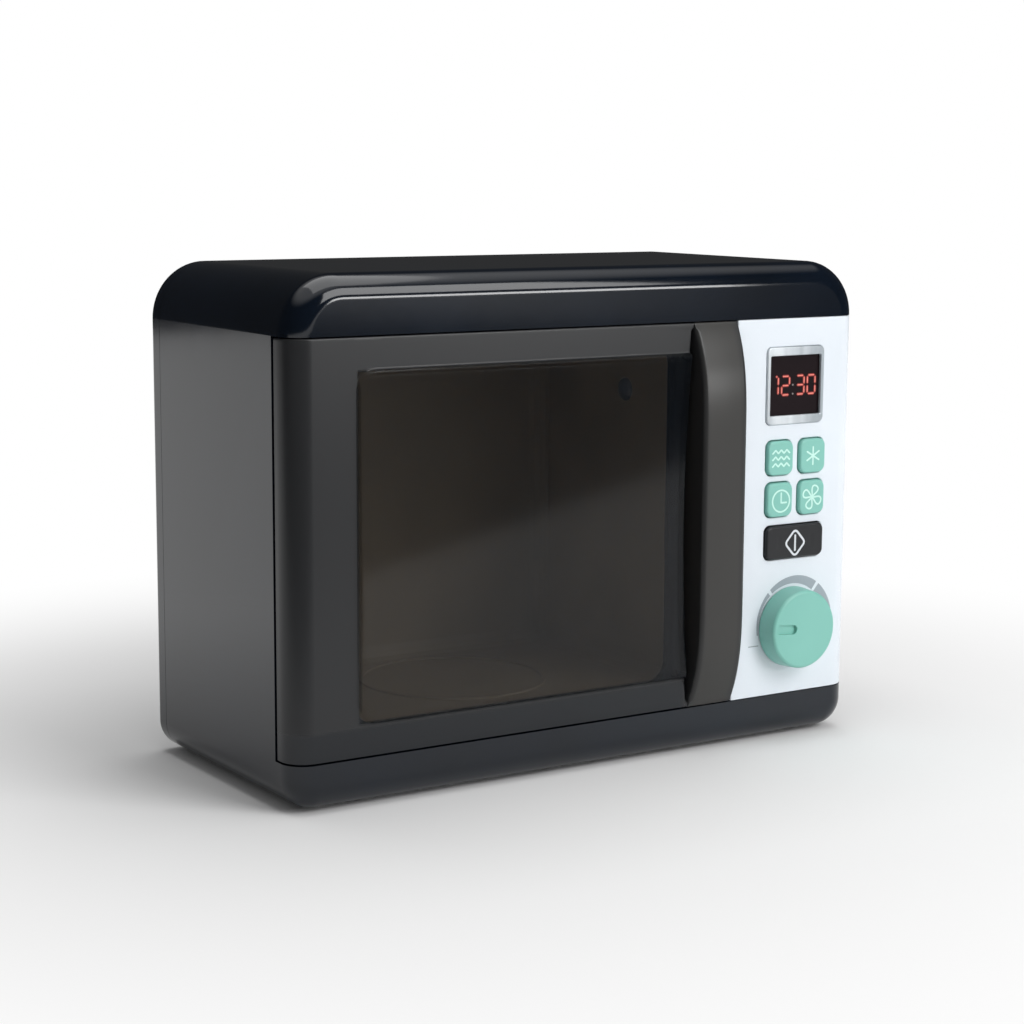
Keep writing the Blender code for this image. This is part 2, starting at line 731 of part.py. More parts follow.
def build_housing():
    shell = new_piece("housing_shell", lambda bm: add_loft(bm, body_rings(0, SPLIT)), gloss_black())
    cut(shell, "recess", lambda bm: recess_shapes(bm, 0))
    cut(shell, "pocket", lambda bm: add_prism(bm, pocket_outline(0), on_plan, SILL_HEIGHT, HOOD_Z))
    cut(
        shell,
        "door side",
        lambda bm: add_box(
            bm, (LEFT - OVERRUN, FRONT - OVERRUN, SILL_HEIGHT), (LEFT + WALL, FRONT + LIP_DEPTH, HOOD_Z)
        ),
    )
    modifier = shell.modifiers.new("hollow", "BOOLEAN")
    modifier.operation = "DIFFERENCE"
    modifier.solver = "EXACT"
    modifier.object = housing_hollow()

    def feet(bm):
        for x, y in foot_places():
            add_rod(bm, (x, y, 0), (x, y, FOOT_HEIGHT + WALL / 2), FOOT_RADIUS)

    def pin_bosses(bm):
        radius = PIN_RADIUS + PIN_CLEARANCE + PIN_BOSS_WALL
        reach = PIN_LENGTH + PIN_BOSS_WALL
        for z, way in ((HOOD_Z, 1), (SILL_HEIGHT, -1)):
            start = (HINGE_X, HINGE_Y, z + way * WALL / 2)
            add_rod(bm, start, (HINGE_X, HINGE_Y, z + way * reach), radius)

    join(shell, "feet", feet)
    join(shell, "posts", lambda bm: add_screw_posts(bm, SPLIT - COVER_POST_LENGTH, SPLIT))
    join(shell, "pin bosses", pin_bosses)

    def openings(bm):
        start, end = FRONT + RECESS_DEPTH - OVERRUN, FRONT + FRAME_BACK + OVERRUN
        low, high = (OVEN_LEFT, OVEN_BOTTOM), (OVEN_RIGHT, OVEN_TOP)
        oven = rounded_outline(low, high, (OVEN_CORNER,) * 4, SMALL_CORNER_STEPS)
        add_prism(bm, oven, on_front, start, end)
        inset = PANEL_SCREW_INSET + PANEL_WALL + SCREW_HEAD_RADIUS + WALL
        add_box(
            bm,
            (PANEL_LEFT + inset, start, PANEL_LOW + inset),
            (RIGHT - PANEL_SCREW_SIDE_INSET, end, PANEL_HIGH - inset),
        )
        rise = CATCH_HEIGHT / 2 + CATCH_CLEARANCE
        left, right = DOOR_RIGHT - DOOR_WALL - CATCH_CLEARANCE, DOOR_RIGHT + CATCH_CLEARANCE
        add_box(bm, (left, start, MIDDLE_Z - rise), (right, end, MIDDLE_Z + rise))
        for x, z in panel_screw_places():
            add_rod(bm, (x, start, z), (x, end, z), SCREW_HOLE_RADIUS, TINY_ROUND_SIDES)

    def pilots(bm):
        tip = SPLIT - COVER_SCREW_LENGTH - OVERRUN
        for x, z in screw_places():
            add_rod(bm, (x, tip, z), (x, SPLIT + OVERRUN, z), SCREW_PILOT_RADIUS, TINY_ROUND_SIDES)

    def pin_holes(bm):
        reach = PIN_LENGTH + PIN_CLEARANCE
        for z, way in ((HOOD_Z, 1), (SILL_HEIGHT, -1)):
            add_rod(
                bm,
                (HINGE_X, HINGE_Y, z - way * OVERRUN),
                (HINGE_X, HINGE_Y, z + way * reach),
                PIN_RADIUS + PIN_CLEARANCE,
            )

    cut(shell, "openings", openings)
    cut(shell, "pilots", pilots)
    cut(shell, "pin holes", pin_holes)
    return shell


# Door

def door_outline(skin):
    """The door in plan: round at the hinge edge, square at the seam, a skin's thickness inside."""
    left, right = LEFT + skin, DOOR_RIGHT - skin
    radius = FRONT_EDGE_RADIUS - skin
    back = FRONT + DOOR_DEPTH + (OVERRUN if skin else 0)
    outline = [(left, back)]
    outline += arc((left + radius, FRONT + skin + radius), radius, 0.5, 0.75, EDGE_STEPS)
    outline += [(right, FRONT + skin), (right, back)]
    return outline


def ease(share):
    """Rises from 0 to 1 as a quarter of a sine."""
    return math.sin(math.pi / 2 * min(max(share, 0), 1))


def eased_stations(low, high, length, steps):
    """Heights from low to high, close together over a length at each end."""
    near = [length * i / steps for i in range(steps + 1)]
    return [low + step for step in near] + [high - step for step in near[::-1]]


def grab_ring(z, skin):
    """The grab bar in plan at one height: two rounded edges, arched towards both ends."""
    share = min(z - DOOR_LOW, DOOR_HIGH - z) / GRAB_EASE
    proud = GRAB_PROUD * ease(share)
    left, right = GRAB_LEFT + skin, DOOR_RIGHT - skin
    face = FRONT - proud + skin
    back = FRONT + (DOOR_DEPTH + OVERRUN if skin else DOOR_WALL / 2)
    left_radius = GRAB_LEFT_EDGE_RADIUS - skin / 2
    right_radius = GRAB_RIGHT_EDGE_RADIUS - skin / 2
    depth_share = min(1, (back - face) / (right_radius * 2))
    ring = [(left, back)]
    for u, v in arc((left_radius, left_radius), left_radius, 0.5, 0.75, SMALL_CORNER_STEPS):
        ring.append((left + u, face + v * depth_share))
    for u, v in arc((-right_radius, right_radius), right_radius, 0.75, 1.0, SMALL_CORNER_STEPS):
        ring.append((right + u, face + v * depth_share))
    ring.append((right, back))
    return [on_plan(u, v, z) for u, v in ring]


def grab_rings(skin):
    heights = eased_stations(DOOR_LOW + skin, DOOR_HIGH - skin, GRAB_EASE, EDGE_STEPS)
    return [grab_ring(z, skin) for z in heights]


def groove_ring(z, skin):
    """The finger groove in plan at one height: widest and deepest half way up."""
    low, high = DOOR_LOW + GROOVE_END_INSET, DOOR_HIGH - GROOVE_END_INSET
    middle_share = 1 - abs(2 * (z - low) / (high - low) - 1)
    width = GROOVE_END_WIDTH + (GROOVE_WIDTH - GROOVE_END_WIDTH) * ease(middle_share)
    end_share = min(z - low, high - z) / GROOVE_EASE
    depth = GROOVE_END_DEPTH + (GROOVE_DEPTH - GROOVE_END_DEPTH) * ease(end_share)
    face = FRONT + DOOR_WALL / 2 if skin else FRONT - WINDOW_PROUD - OVERRUN
    left, right = GRAB_LEFT - width - skin, GRAB_LEFT + skin
    floor = FRONT + depth + skin
    return [on_plan(u, v, z) for u, v in ((left, floor), (left, face), (right, face), (right, floor))]


def groove_rings(skin):
    low = DOOR_LOW + GROOVE_END_INSET
    high = DOOR_HIGH - GROOVE_END_INSET
    heights = eased_stations(low, high, GROOVE_EASE, SMALL_CORNER_STEPS)
    start, rise = low + GROOVE_EASE, high - low - 2 * GROOVE_EASE
    heights += [start + rise * i / (GROOVE_MIDDLE_RINGS + 1) for i in range(1, GROOVE_MIDDLE_RINGS + 1)]
    rings = [groove_ring(z, skin) for z in sorted(heights)]
    if skin:
        for ring, way in ((rings[0], -1), (rings[-1], 1)):
            for point in ring:
                point.z += way * skin
    return rings


def window_rings(skin):
    """The raised window field, sloped at its edge; with a skin, the hollow behind it."""
    back = FRONT + (2 * DOOR_WALL if skin else DOOR_WALL / 2)
    right = GRAB_LEFT - GROOVE_WIDTH - GROOVE_WALL if skin else GRAB_LEFT + DOOR_WALL / 2
    foot = FRONT + (DOOR_WALL / 2 if skin else 0)
    low = (WINDOW_LEFT + skin, WINDOW_BOTTOM + skin)
    high = (right, WINDOW_TOP - skin)
    stations = [(0, back), (0, foot), (WINDOW_SLOPE, FRONT - WINDOW_PROUD + skin)]
    return rounded_rings(low, high, WINDOW_CORNER - skin, stations)


def build_door():
    def slab(bm):
        add_prism(bm, door_outline(0), on_plan, DOOR_LOW, DOOR_HIGH)

    def inside(bm):
        add_prism(bm, door_outline(DOOR_WALL), on_plan, DOOR_LOW + DOOR_WALL, DOOR_HIGH - DOOR_WALL)

    door = new_piece("door", slab, smoked_clear())
    join(door, "window field", lambda bm: add_loft(bm, window_rings(0)))
    join(door, "grab bar", lambda bm: add_loft(bm, grab_rings(0)))
    cut(door, "inside", inside)
    cut(door, "window inside", lambda bm: add_loft(bm, window_rings(DOOR_WALL)))
    cut(door, "grab inside", lambda bm: add_loft(bm, grab_rings(DOOR_WALL)))
    join(door, "groove wall", lambda bm: add_loft(bm, groove_rings(GROOVE_WALL)))
    cut(door, "groove", lambda bm: add_loft(bm, groove_rings(0)))

    def pins(bm):
        for z, way in ((DOOR_HIGH, 1), (DOOR_LOW, -1)):
            start = (HINGE_X, HINGE_Y, z - way * DOOR_WALL / 2)
            add_rod(bm, start, (HINGE_X, HINGE_Y, z + way * PIN_LENGTH), PIN_RADIUS)

    def catch(bm):
        back = FRONT + DOOR_DEPTH
        add_box(
            bm,
            (DOOR_RIGHT - DOOR_WALL, back - DOOR_WALL, MIDDLE_Z - CATCH_HEIGHT / 2),
            (DOOR_RIGHT - DOOR_WALL / 4, back + CATCH_REACH, MIDDLE_Z + CATCH_HEIGHT / 2),
        )

    join(door, "pins", pins)
    join(door, "catch", catch)
    put_origin_at(door, (HINGE_X, HINGE_Y, 0))
    return door


# Oven cavity

def build_liner():
    back = LINER_FRONT + LINER_DEPTH
    low = (OVEN_LEFT - LINER_WALL, OVEN_BOTTOM - LINER_WALL)
    high = (OVEN_RIGHT + LINER_WALL, OVEN_TOP + LINER_WALL)

    def outer(bm):
        stations = [(0, LINER_FRONT)] + quarter_stations(OVEN_CORNER, back, SMALL_CORNER_STEPS, -1)[::-1]
        add_loft(bm, rounded_rings(low, high, OVEN_CORNER + LINER_WALL, stations))

    def flange(bm):
        edge = LINER_WALL + LINER_FLANGE
        outline = rounded_outline(
            (OVEN_LEFT - edge, OVEN_BOTTOM - edge),
            (OVEN_RIGHT + edge, OVEN_TOP + edge),
            (OVEN_CORNER,) * 4,
            SMALL_CORNER_STEPS,
        )
        add_prism(bm, outline, on_front, LINER_FRONT, LINER_FRONT + LINER_WALL)

    def lamp_cup(bm):
        radius = LENS_RADIUS + LENS_FLANGE + LENS_CLEARANCE + LAMP_CUP_WALL
        start = OVEN_RIGHT + LINER_WALL / 2
        end = OVEN_RIGHT + LINER_WALL + LAMP_CUP_LENGTH
        add_rod(bm, (start, LAMP_Y, LAMP_Z), (end, LAMP_Y, LAMP_Z), radius)

    def inside(bm):
        edge = quarter_stations(OVEN_CORNER - LINER_WALL, back - LINER_WALL, SMALL_CORNER_STEPS, -1)
        stations = [(0, LINER_FRONT - OVERRUN)] + edge[::-1]
        add_loft(bm, rounded_rings((OVEN_LEFT, OVEN_BOTTOM), (OVEN_RIGHT, OVEN_TOP), OVEN_CORNER, stations))

    def lamp_hole(bm):
        add_rod(
            bm,
            (OVEN_RIGHT - OVERRUN, LAMP_Y, LAMP_Z),
            (OVEN_RIGHT + LINER_WALL + OVERRUN, LAMP_Y, LAMP_Z),
            LENS_RADIUS + LENS_CLEARANCE,
        )
        add_rod(
            bm,
            (OVEN_RIGHT + LINER_WALL, LAMP_Y, LAMP_Z),
            (OVEN_RIGHT + LINER_WALL + LAMP_CUP_LENGTH + OVERRUN, LAMP_Y, LAMP_Z),
            LENS_RADIUS + LENS_FLANGE + LENS_CLEARANCE,
        )

    def plate_ring(bm):
        middle = ((OVEN_LEFT + OVEN_RIGHT) / 2, LINER_FRONT + LINER_DEPTH / 2, OVEN_BOTTOM)
        profile = (
            (PLATE_RING_RADIUS - PLATE_RING_WIDTH, -LINER_WALL / 2),
            (PLATE_RING_RADIUS, -LINER_WALL / 2),
            (PLATE_RING_RADIUS, PLATE_RING_HEIGHT),
            (PLATE_RING_RADIUS - PLATE_RING_WIDTH, PLATE_RING_HEIGHT),
        )
        add_turned(bm, profile, Matrix.Translation(middle), ROUND_SIDES, closed=True)

    liner = new_piece("cavity_liner", outer, black_plastic())
    join(liner, "flange", flange)
    join(liner, "lamp cup", lamp_cup)
    cut(liner, "inside", inside)
    cut(liner, "lamp hole", lamp_hole)
    join(liner, "plate ring", plate_ring)
    return liner


def build_lamp():
    outer_face = OVEN_RIGHT + LINER_WALL + SEAT_GAP
    place = facing((-1, 0, 0), (outer_face + LENS_THICKNESS, LAMP_Y, LAMP_Z))

    def lens(bm):
        rise = LENS_THICKNESS + SEAT_GAP + LINER_WALL
        bore = LED_RADIUS + LED_RIM + SEAT_GAP
        profile = [(0, 0), (bore, 0), (bore, -LENS_SLEEVE), (bore + LENS_SLEEVE_WALL, -LENS_SLEEVE)]
        profile.append((bore + LENS_SLEEVE_WALL, 0))
        profile += [(LENS_RADIUS + LENS_FLANGE, 0), (LENS_RADIUS + LENS_FLANGE, LENS_THICKNESS)]
        profile += [(LENS_RADIUS, LENS_THICKNESS), (LENS_RADIUS, rise)]
        for i in range(1, SMALL_CORNER_STEPS + 1):
            turn = math.pi / 2 * i / SMALL_CORNER_STEPS
            radius = LENS_RADIUS * math.cos(turn) if i < SMALL_CORNER_STEPS else 0
            profile.append((radius, rise + LENS_CROWN * math.sin(turn)))
        add_turned(bm, profile, place, SMALL_ROUND_SIDES)

    tip = outer_face + LENS_THICKNESS + SEAT_GAP

    def led(bm):
        rim = LED_RADIUS + LED_RIM
        straight = LED_LENGTH - LED_RADIUS
        profile = [(0, 0), (rim, 0), (rim, LED_RIM * 2), (LED_RADIUS, LED_RIM * 2)]
        for i in range(SMALL_CORNER_STEPS + 1):
            turn = math.pi / 2 * i / SMALL_CORNER_STEPS
            radius = LED_RADIUS * math.cos(turn) if i < SMALL_CORNER_STEPS else 0
            profile.append((radius, straight + LED_RADIUS * math.sin(turn)))
        seat = facing((-1, 0, 0), (tip + LED_LENGTH, LAMP_Y, LAMP_Z))
        add_turned(bm, profile, seat, TINY_ROUND_SIDES)

    def legs(bm):
        half = LED_LEG_THICKNESS / 2
        for side in (-1, 1):
            y = LAMP_Y + side * LED_LEG_PITCH / 2
            add_box(
                bm,
                (tip + LED_LENGTH - LED_RIM, y - half, LAMP_Z - half),
                (tip + LED_LENGTH + LED_LEG_LENGTH, y + half, LAMP_Z + half),
            )

    new_piece("led_lens", lens, finish("clear lens", (0.75, 0.85, 0.95), 0.15, transmission=0.8))
    lamp = new_piece("cavity_led", led, finish("blue epoxy", (0.10, 0.25, 0.85), 0.20, transmission=0.4))
    join(lamp, "legs", legs)


# Control panel

def panel_outline(skin):
    """The panel in plan: square at the seam, round at the front right corner."""
    left, right = PANEL_LEFT + skin, RIGHT - skin
    radius = FRONT_EDGE_RADIUS - skin
    back = FRONT + DOOR_DEPTH + (OVERRUN if skin else 0)
    outline = [(left, back), (left, FRONT + skin)]
    outline += arc((right - radius, FRONT + skin + radius), radius, 0.75, 1.0, EDGE_STEPS)
    outline.append((right, back))
    return outline


def key_centre(side, level):
    return KEYS_CENTRE_X + side * KEY_PITCH_X / 2, KEYS_CENTRE_Z + level * KEY_PITCH_Z / 2


def key_holes(bm):
    """Square holes for the keys, a clearance larger than each key."""
    places = [(*key_centre(*step), KEY_WIDTH, KEY_HEIGHT, KEY_RADIUS) for step in KEYS.values()]
    places.append((KEYS_CENTRE_X, START_CENTRE_Z, START_WIDTH, START_HEIGHT, START_RADIUS))
    for x, z, width, height, radius in places:
        half_width = width / 2 + KEY_CLEARANCE
        half_height = height / 2 + KEY_CLEARANCE
        low, high = (x - half_width, z - half_height), (x + half_width, z + half_height)
        outline = rounded_outline(low, high, (radius,) * 4, SMALL_CORNER_STEPS)
        add_prism(bm, outline, on_front, FRONT - OVERRUN, FRONT + PANEL_WALL + OVERRUN)


def build_panel():
    inner = FRONT + PANEL_WALL / 2

    def slab(bm):
        add_prism(bm, panel_outline(0), on_plan, PANEL_LOW, PANEL_HIGH)

    def inside(bm):
        add_prism(bm, panel_outline(PANEL_WALL), on_plan, PANEL_LOW + PANEL_WALL, PANEL_HIGH - PANEL_WALL)

    def bosses(bm):
        for x, z in panel_screw_places():
            add_rod(bm, (x, inner, z), (x, FRONT + DOOR_DEPTH, z), SCREW_BOSS_RADIUS, TINY_ROUND_SIDES)
        for x, z in board_screw_places():
            add_rod(bm, (x, inner, z), (x, BOARD_FACE - SEAT_GAP, z), BOARD_POST_RADIUS, TINY_ROUND_SIDES)
        collar = KNOB_STEM_RADIUS + STEM_CLEARANCE + COLLAR_WALL
        add_rod(bm, (KNOB_X, inner, KNOB_Z), (KNOB_X, FRONT + PANEL_WALL + COLLAR_LENGTH, KNOB_Z), collar)

    def spring_posts(bm):
        for side in (-1, 1):
            x = KNOB_X + side * (CLICK_LENGTH - CLICK_POST_WIDTH) / 2
            z = click_strip_z()
            add_box(
                bm,
                (x - CLICK_POST_WIDTH / 2, inner, z - CLICK_POST_HEIGHT / 2),
                (x + CLICK_POST_WIDTH / 2, RATCHET_BACK, z + CLICK_POST_HEIGHT / 2),
            )

    def spring_slots(bm):
        z = click_strip_z()
        room = CLICK_STRIP / 2 + SEAT_GAP
        reach = CLICK_LENGTH / 2 + CLICK_POST_WIDTH
        for side in (-1, 1):
            inner_end = CLICK_LENGTH / 2 - 2 * CLICK_POST_WIDTH
            start, end = sorted((KNOB_X + side * reach, KNOB_X + side * inner_end))
            low = (start, click_front() - SEAT_GAP, z - room)
            add_box(bm, low, (end, RATCHET_BACK + OVERRUN, z + room))

    def holes(bm):
        back = FRONT + DOOR_DEPTH
        for places, start, end in (
            (panel_screw_places(), back - PANEL_SCREW_LENGTH, back + OVERRUN),
            (board_screw_places(), BOARD_BACK - BOARD_SCREW_LENGTH - SEAT_GAP, BOARD_FACE + OVERRUN),
        ):
            for x, z in places:
                add_rod(bm, (x, start, z), (x, end, z), SCREW_PILOT_RADIUS, TINY_ROUND_SIDES)

    def shaft_hole(bm):
        start, end = FRONT - OVERRUN, FRONT + PANEL_WALL + COLLAR_LENGTH + OVERRUN
        add_rod(bm, (KNOB_X, start, KNOB_Z), (KNOB_X, end, KNOB_Z), KNOB_STEM_RADIUS + STEM_CLEARANCE)

    def display_hole(bm):
        seat_end = FRONT + BEZEL_SINK + SEAT_GAP
        for inset, start, end in (
            (-SEAT_GAP, FRONT - OVERRUN, seat_end),
            (BEZEL_RIM, seat_end - BEZEL_EDGE, FRONT + PANEL_WALL + OVERRUN),
        ):
            add_loft(bm, rounded_rings(*bezel_corners(), BEZEL_RADIUS, [(inset, start), (inset, end)]))

    panel = new_piece("control_panel", slab, white_plastic())
    cut(panel, "inside", inside)
    join(panel, "bosses", bosses)
    join(panel, "spring posts", spring_posts)
    cut(panel, "spring slots", spring_slots)
    cut(panel, "key holes", key_holes)
    cut(panel, "screw holes", holes)
    cut(panel, "shaft hole", shaft_hole)
    cut(panel, "display hole", display_hole)
    return panel


def bezel_corners():
    half_width, half_height = BEZEL_WIDTH / 2, BEZEL_HEIGHT / 2
    low = (BEZEL_CENTRE_X - half_width, BEZEL_CENTRE_Z - half_height)
    high = (BEZEL_CENTRE_X + half_width, BEZEL_CENTRE_Z + half_height)
    return low, high


def build_display():
    low, high = bezel_corners()
    ledge = DISPLAY_LEDGE - SEAT_GAP
    face = FRONT - BEZEL_PROUD
    window_low = (low[0] + BEZEL_SIDE, low[1] + BEZEL_TOP)
    window_high = (high[0] - BEZEL_SIDE, high[1] - BEZEL_TOP)

    def frame(bm):
        stations = [(0, FRONT + BEZEL_SINK), (0, face + BEZEL_EDGE), (BEZEL_EDGE, face)]
        add_loft(bm, rounded_rings(low, high, BEZEL_RADIUS, stations))

    def sleeve(bm):
        inset = BEZEL_RIM + SEAT_GAP
        stations = [(inset, FRONT + BEZEL_SINK - BEZEL_EDGE), (inset, FRONT + DISPLAY_FRAME_DEPTH)]
        add_loft(bm, rounded_rings(low, high, BEZEL_RADIUS, stations))

    def window_hole(bm):
        end = FRONT + OVERRUN * 2
        add_box(bm, (window_low[0], face - OVERRUN, window_low[1]), (window_high[0], end, window_high[1]))

    def window_seat(bm):
        low_edge = [edge - DISPLAY_LEDGE for edge in window_low]
        high_edge = [edge + DISPLAY_LEDGE for edge in window_high]
        end = FRONT + DISPLAY_FRAME_DEPTH + OVERRUN
        add_box(bm, (low_edge[0], FRONT + DISPLAY_SINK, low_edge[1]), (high_edge[0], end, high_edge[1]))

    def window(bm):
        start = FRONT + DISPLAY_SINK + SEAT_GAP
        add_box(
            bm,
            (window_low[0] - ledge, start, window_low[1] - ledge),
            (window_high[0] + ledge, start + DISPLAY_THICKNESS, window_high[1] + ledge),
        )

    bezel = new_piece("display_bezel", frame, silver_plate())
    join(bezel, "sleeve", sleeve)
    cut(bezel, "window hole", window_hole)
    cut(bezel, "window seat", window_seat)
    new_piece("display_window", window, finish("black display glass", (0.012, 0.008, 0.009), 0.08))


def add_key(bm, width, height, radius):
    """A key about its own centre, pushed along +Y: rounded cap, holding flange and plunger."""
    low, high = (-width / 2, -height / 2), (width / 2, height / 2)
    stations = quarter_stations(KEY_EDGE, -KEY_PROUD, SMALL_CORNER_STEPS - 2, 1)
    stations += [(0, KEY_FLANGE_DEPTH), (-KEY_FLANGE, KEY_FLANGE_DEPTH)]
    stations.append((-KEY_FLANGE, KEY_FLANGE_DEPTH + KEY_FLANGE_THICKNESS))
    add_loft(bm, rounded_rings(low, high, radius, stations))


def add_plunger(bm):
    back = KEY_FLANGE_DEPTH + KEY_FLANGE_THICKNESS
    start, end = back - KEY_FLANGE_THICKNESS / 2, back + KEY_PLUNGER_LENGTH
    add_rod(bm, (0, start, 0), (0, end, 0), KEY_PLUNGER_RADIUS, TINY_ROUND_SIDES)


def build_keys():
    key_mesh = mesh_of("mint key", lambda bm: add_key(bm, KEY_WIDTH, KEY_HEIGHT, KEY_RADIUS))
    for name, step in KEYS.items():
        x, z = key_centre(*step)
        key = place_object(name, key_mesh, mint_plastic(), (x, FRONT, z))
        plunger = join(key, "plunger", add_plunger)
        plunger.location = key.location


def build_start_key():
    key = place_object(
        "start_button",
        mesh_of("start_button", lambda bm: add_key(bm, START_WIDTH, START_HEIGHT, START_RADIUS)),
        black_plastic(),
        (KEYS_CENTRE_X, FRONT, START_CENTRE_Z),
    )
    plunger = join(key, "plunger", add_plunger)
    plunger.location = key.location

    def dimples(bm):
        for side in (-1, 1):
            x = side * DIMPLE_OFFSET
            start = (x, -KEY_PROUD - OVERRUN, 0)
            add_rod(bm, start, (x, -KEY_PROUD + DIMPLE_DEPTH, 0), DIMPLE_RADIUS, SMALL_ROUND_SIDES)

    sunk = cut(key, "dimples", dimples)
    sunk.location = key.location


# Knob and its click

def click_strip_z():
    """Height of the middle of the leaf spring, under the ratchet wheel."""
    return KNOB_Z - RATCHET_RADIUS - SEAT_GAP - CLICK_STRIP


def click_front():
    return RATCHET_FACE + (RATCHET_THICKNESS - CLICK_WIDTH) / 2


def build_knob():
    def body(bm):
        depth = KNOB_PROUD - KNOB_LIFT
        profile = [(0, 0), (KNOB_RADIUS, 0)]
        for i in range(SMALL_CORNER_STEPS + 1):
            turn = math.pi / 2 * i / SMALL_CORNER_STEPS
            radius = KNOB_FACE_RADIUS - KNOB_EDGE * (1 - math.cos(turn))
            profile.append((radius, depth - KNOB_EDGE * (1 - math.sin(turn))))
        profile.append((0, depth))
        add_turned(bm, profile, facing((0, -1, 0), (KNOB_X, FRONT - KNOB_LIFT, KNOB_Z)), ROUND_SIDES)

    def hollow(bm):
        floor = FRONT - KNOB_PROUD + SLOT_DEPTH + KNOB_WALL
        add_rod(
            bm,
            (KNOB_X, FRONT - KNOB_LIFT + OVERRUN, KNOB_Z),
            (KNOB_X, floor, KNOB_Z),
            KNOB_FACE_RADIUS - KNOB_WALL,
            ROUND_SIDES,
        )

    def stem(bm):
        start = FRONT - KNOB_PROUD + SLOT_DEPTH + KNOB_WALL / 2
        add_rod(bm, (KNOB_X, start, KNOB_Z), (KNOB_X, RATCHET_BACK - SEAT_GAP, KNOB_Z), KNOB_STEM_RADIUS)

    def stem_flat(bm):
        flat = KNOB_Z + KNOB_STEM_RADIUS * STEM_FLAT_SHARE
        add_box(
            bm,
            (KNOB_X - KNOB_RADIUS, RATCHET_FACE - SEAT_GAP, flat),
            (KNOB_X + KNOB_RADIUS, RATCHET_BACK + OVERRUN, KNOB_Z + KNOB_RADIUS),
        )

    def screw_bore(bm):
        end = RATCHET_BACK + OVERRUN
        start = (KNOB_X, end - SCREW_LENGTH - OVERRUN, KNOB_Z)
        add_rod(bm, start, (KNOB_X, end, KNOB_Z), SCREW_PILOT_RADIUS, TINY_ROUND_SIDES)

    def pointer(bm):
        radius = SLOT_WIDTH / 2
        far = KNOB_X - SLOT_OUTER_END + radius
        near = KNOB_X - SLOT_OUTER_END + SLOT_LENGTH - radius
        outline = arc((far, KNOB_Z), radius, 0.25, 0.75, SMALL_CORNER_STEPS)
        outline += arc((near, KNOB_Z), radius, -0.25, 0.25, SMALL_CORNER_STEPS)
        add_prism(bm, outline, on_front, FRONT - KNOB_PROUD - OVERRUN, FRONT - KNOB_PROUD + SLOT_DEPTH)

    knob = new_piece("knob", body, mint_plastic())
    cut(knob, "hollow", hollow)
    join(knob, "stem", stem)
    cut(knob, "stem flat", stem_flat)
    cut(knob, "screw bore", screw_bore)
    cut(knob, "pointer", pointer)
    put_origin_at(knob, (KNOB_X, 0, KNOB_Z))


def build_ratchet():
    def wheel(bm):
        outline = []
        for i in range(RATCHET_TEETH):
            for half, radius in ((0, RATCHET_RADIUS - RATCHET_TOOTH), (0.5, RATCHET_RADIUS)):
                turn = 2 * math.pi * ((i + half) / RATCHET_TEETH - 0.25)
                outline.append((KNOB_X + radius * math.cos(turn), KNOB_Z + radius * math.sin(turn)))
        add_prism(bm, outline, on_front, RATCHET_FACE, RATCHET_BACK)

    def bore(bm):
        radius = KNOB_STEM_RADIUS + STEM_CLEARANCE
        flat_height = KNOB_STEM_RADIUS * STEM_FLAT_SHARE + STEM_CLEARANCE
        start_share = math.asin(flat_height / radius) / (2 * math.pi)
        outline = arc((KNOB_X, KNOB_Z), radius, 0.5 - start_share, 1 + start_share, SMALL_ROUND_SIDES)
        add_prism(bm, outline, on_front, RATCHET_FACE - OVERRUN, RATCHET_BACK + OVERRUN)

    ratchet = new_piece("ratchet_wheel", wheel, acetal())
    cut(ratchet, "bore", bore)
    put_origin_at(ratchet, (KNOB_X, 0, KNOB_Z))


def build_click_spring():
    def strip(bm):
        z = click_strip_z()
        half = CLICK_LENGTH / 2
        base = CLICK_NOSE * CLICK_NOSE_BASE_SHARE
        top = [(-half, 0), (-base, 0), (0, CLICK_NOSE), (base, 0), (half, 0)]
        outline = [(KNOB_X + u, z + v + CLICK_STRIP / 2) for u, v in top[::-1]]
        outline += [(KNOB_X + u, z + v - CLICK_STRIP / 2) for u, v in top]
        add_prism(bm, outline, on_front, click_front(), click_front() + CLICK_WIDTH)

    new_piece("click_spring", strip, spring_steel())


# Circuit board and keypad mat

def build_board():
    def plate(bm):
        add_box(bm, (BOARD_LEFT, BOARD_FACE, BOARD_BOTTOM), (BOARD_RIGHT, BOARD_BACK, BOARD_TOP))

    def holes(bm):
        for x, z in board_screw_places():
            start, end = (x, BOARD_FACE - OVERRUN, z), (x, BOARD_BACK + OVERRUN, z)
            add_rod(bm, start, end, SCREW_HOLE_RADIUS, TINY_ROUND_SIDES)

    board = new_piece("circuit_board", plate, board_laminate())
    cut(board, "holes", holes)

    def chip(bm):
        profile = [(0, 0), (CHIP_RADIUS, 0)]
        for i in range(1, SMALL_CORNER_STEPS + 1):
            turn = math.pi / 2 * i / SMALL_CORNER_STEPS
            radius = CHIP_RADIUS * math.cos(turn) if i < SMALL_CORNER_STEPS else 0
            profile.append((radius, CHIP_HEIGHT * math.sin(turn)))
        place = ((BOARD_LEFT + BOARD_RIGHT) / 2, BOARD_BACK + SEAT_GAP, BOARD_TOP - CHIP_DROP)
        add_turned(bm, profile, facing((0, 1, 0), place), SMALL_ROUND_SIDES)

    new_piece("sound_chip", chip, finish("black epoxy", (0.01, 0.01, 0.01), 0.35))


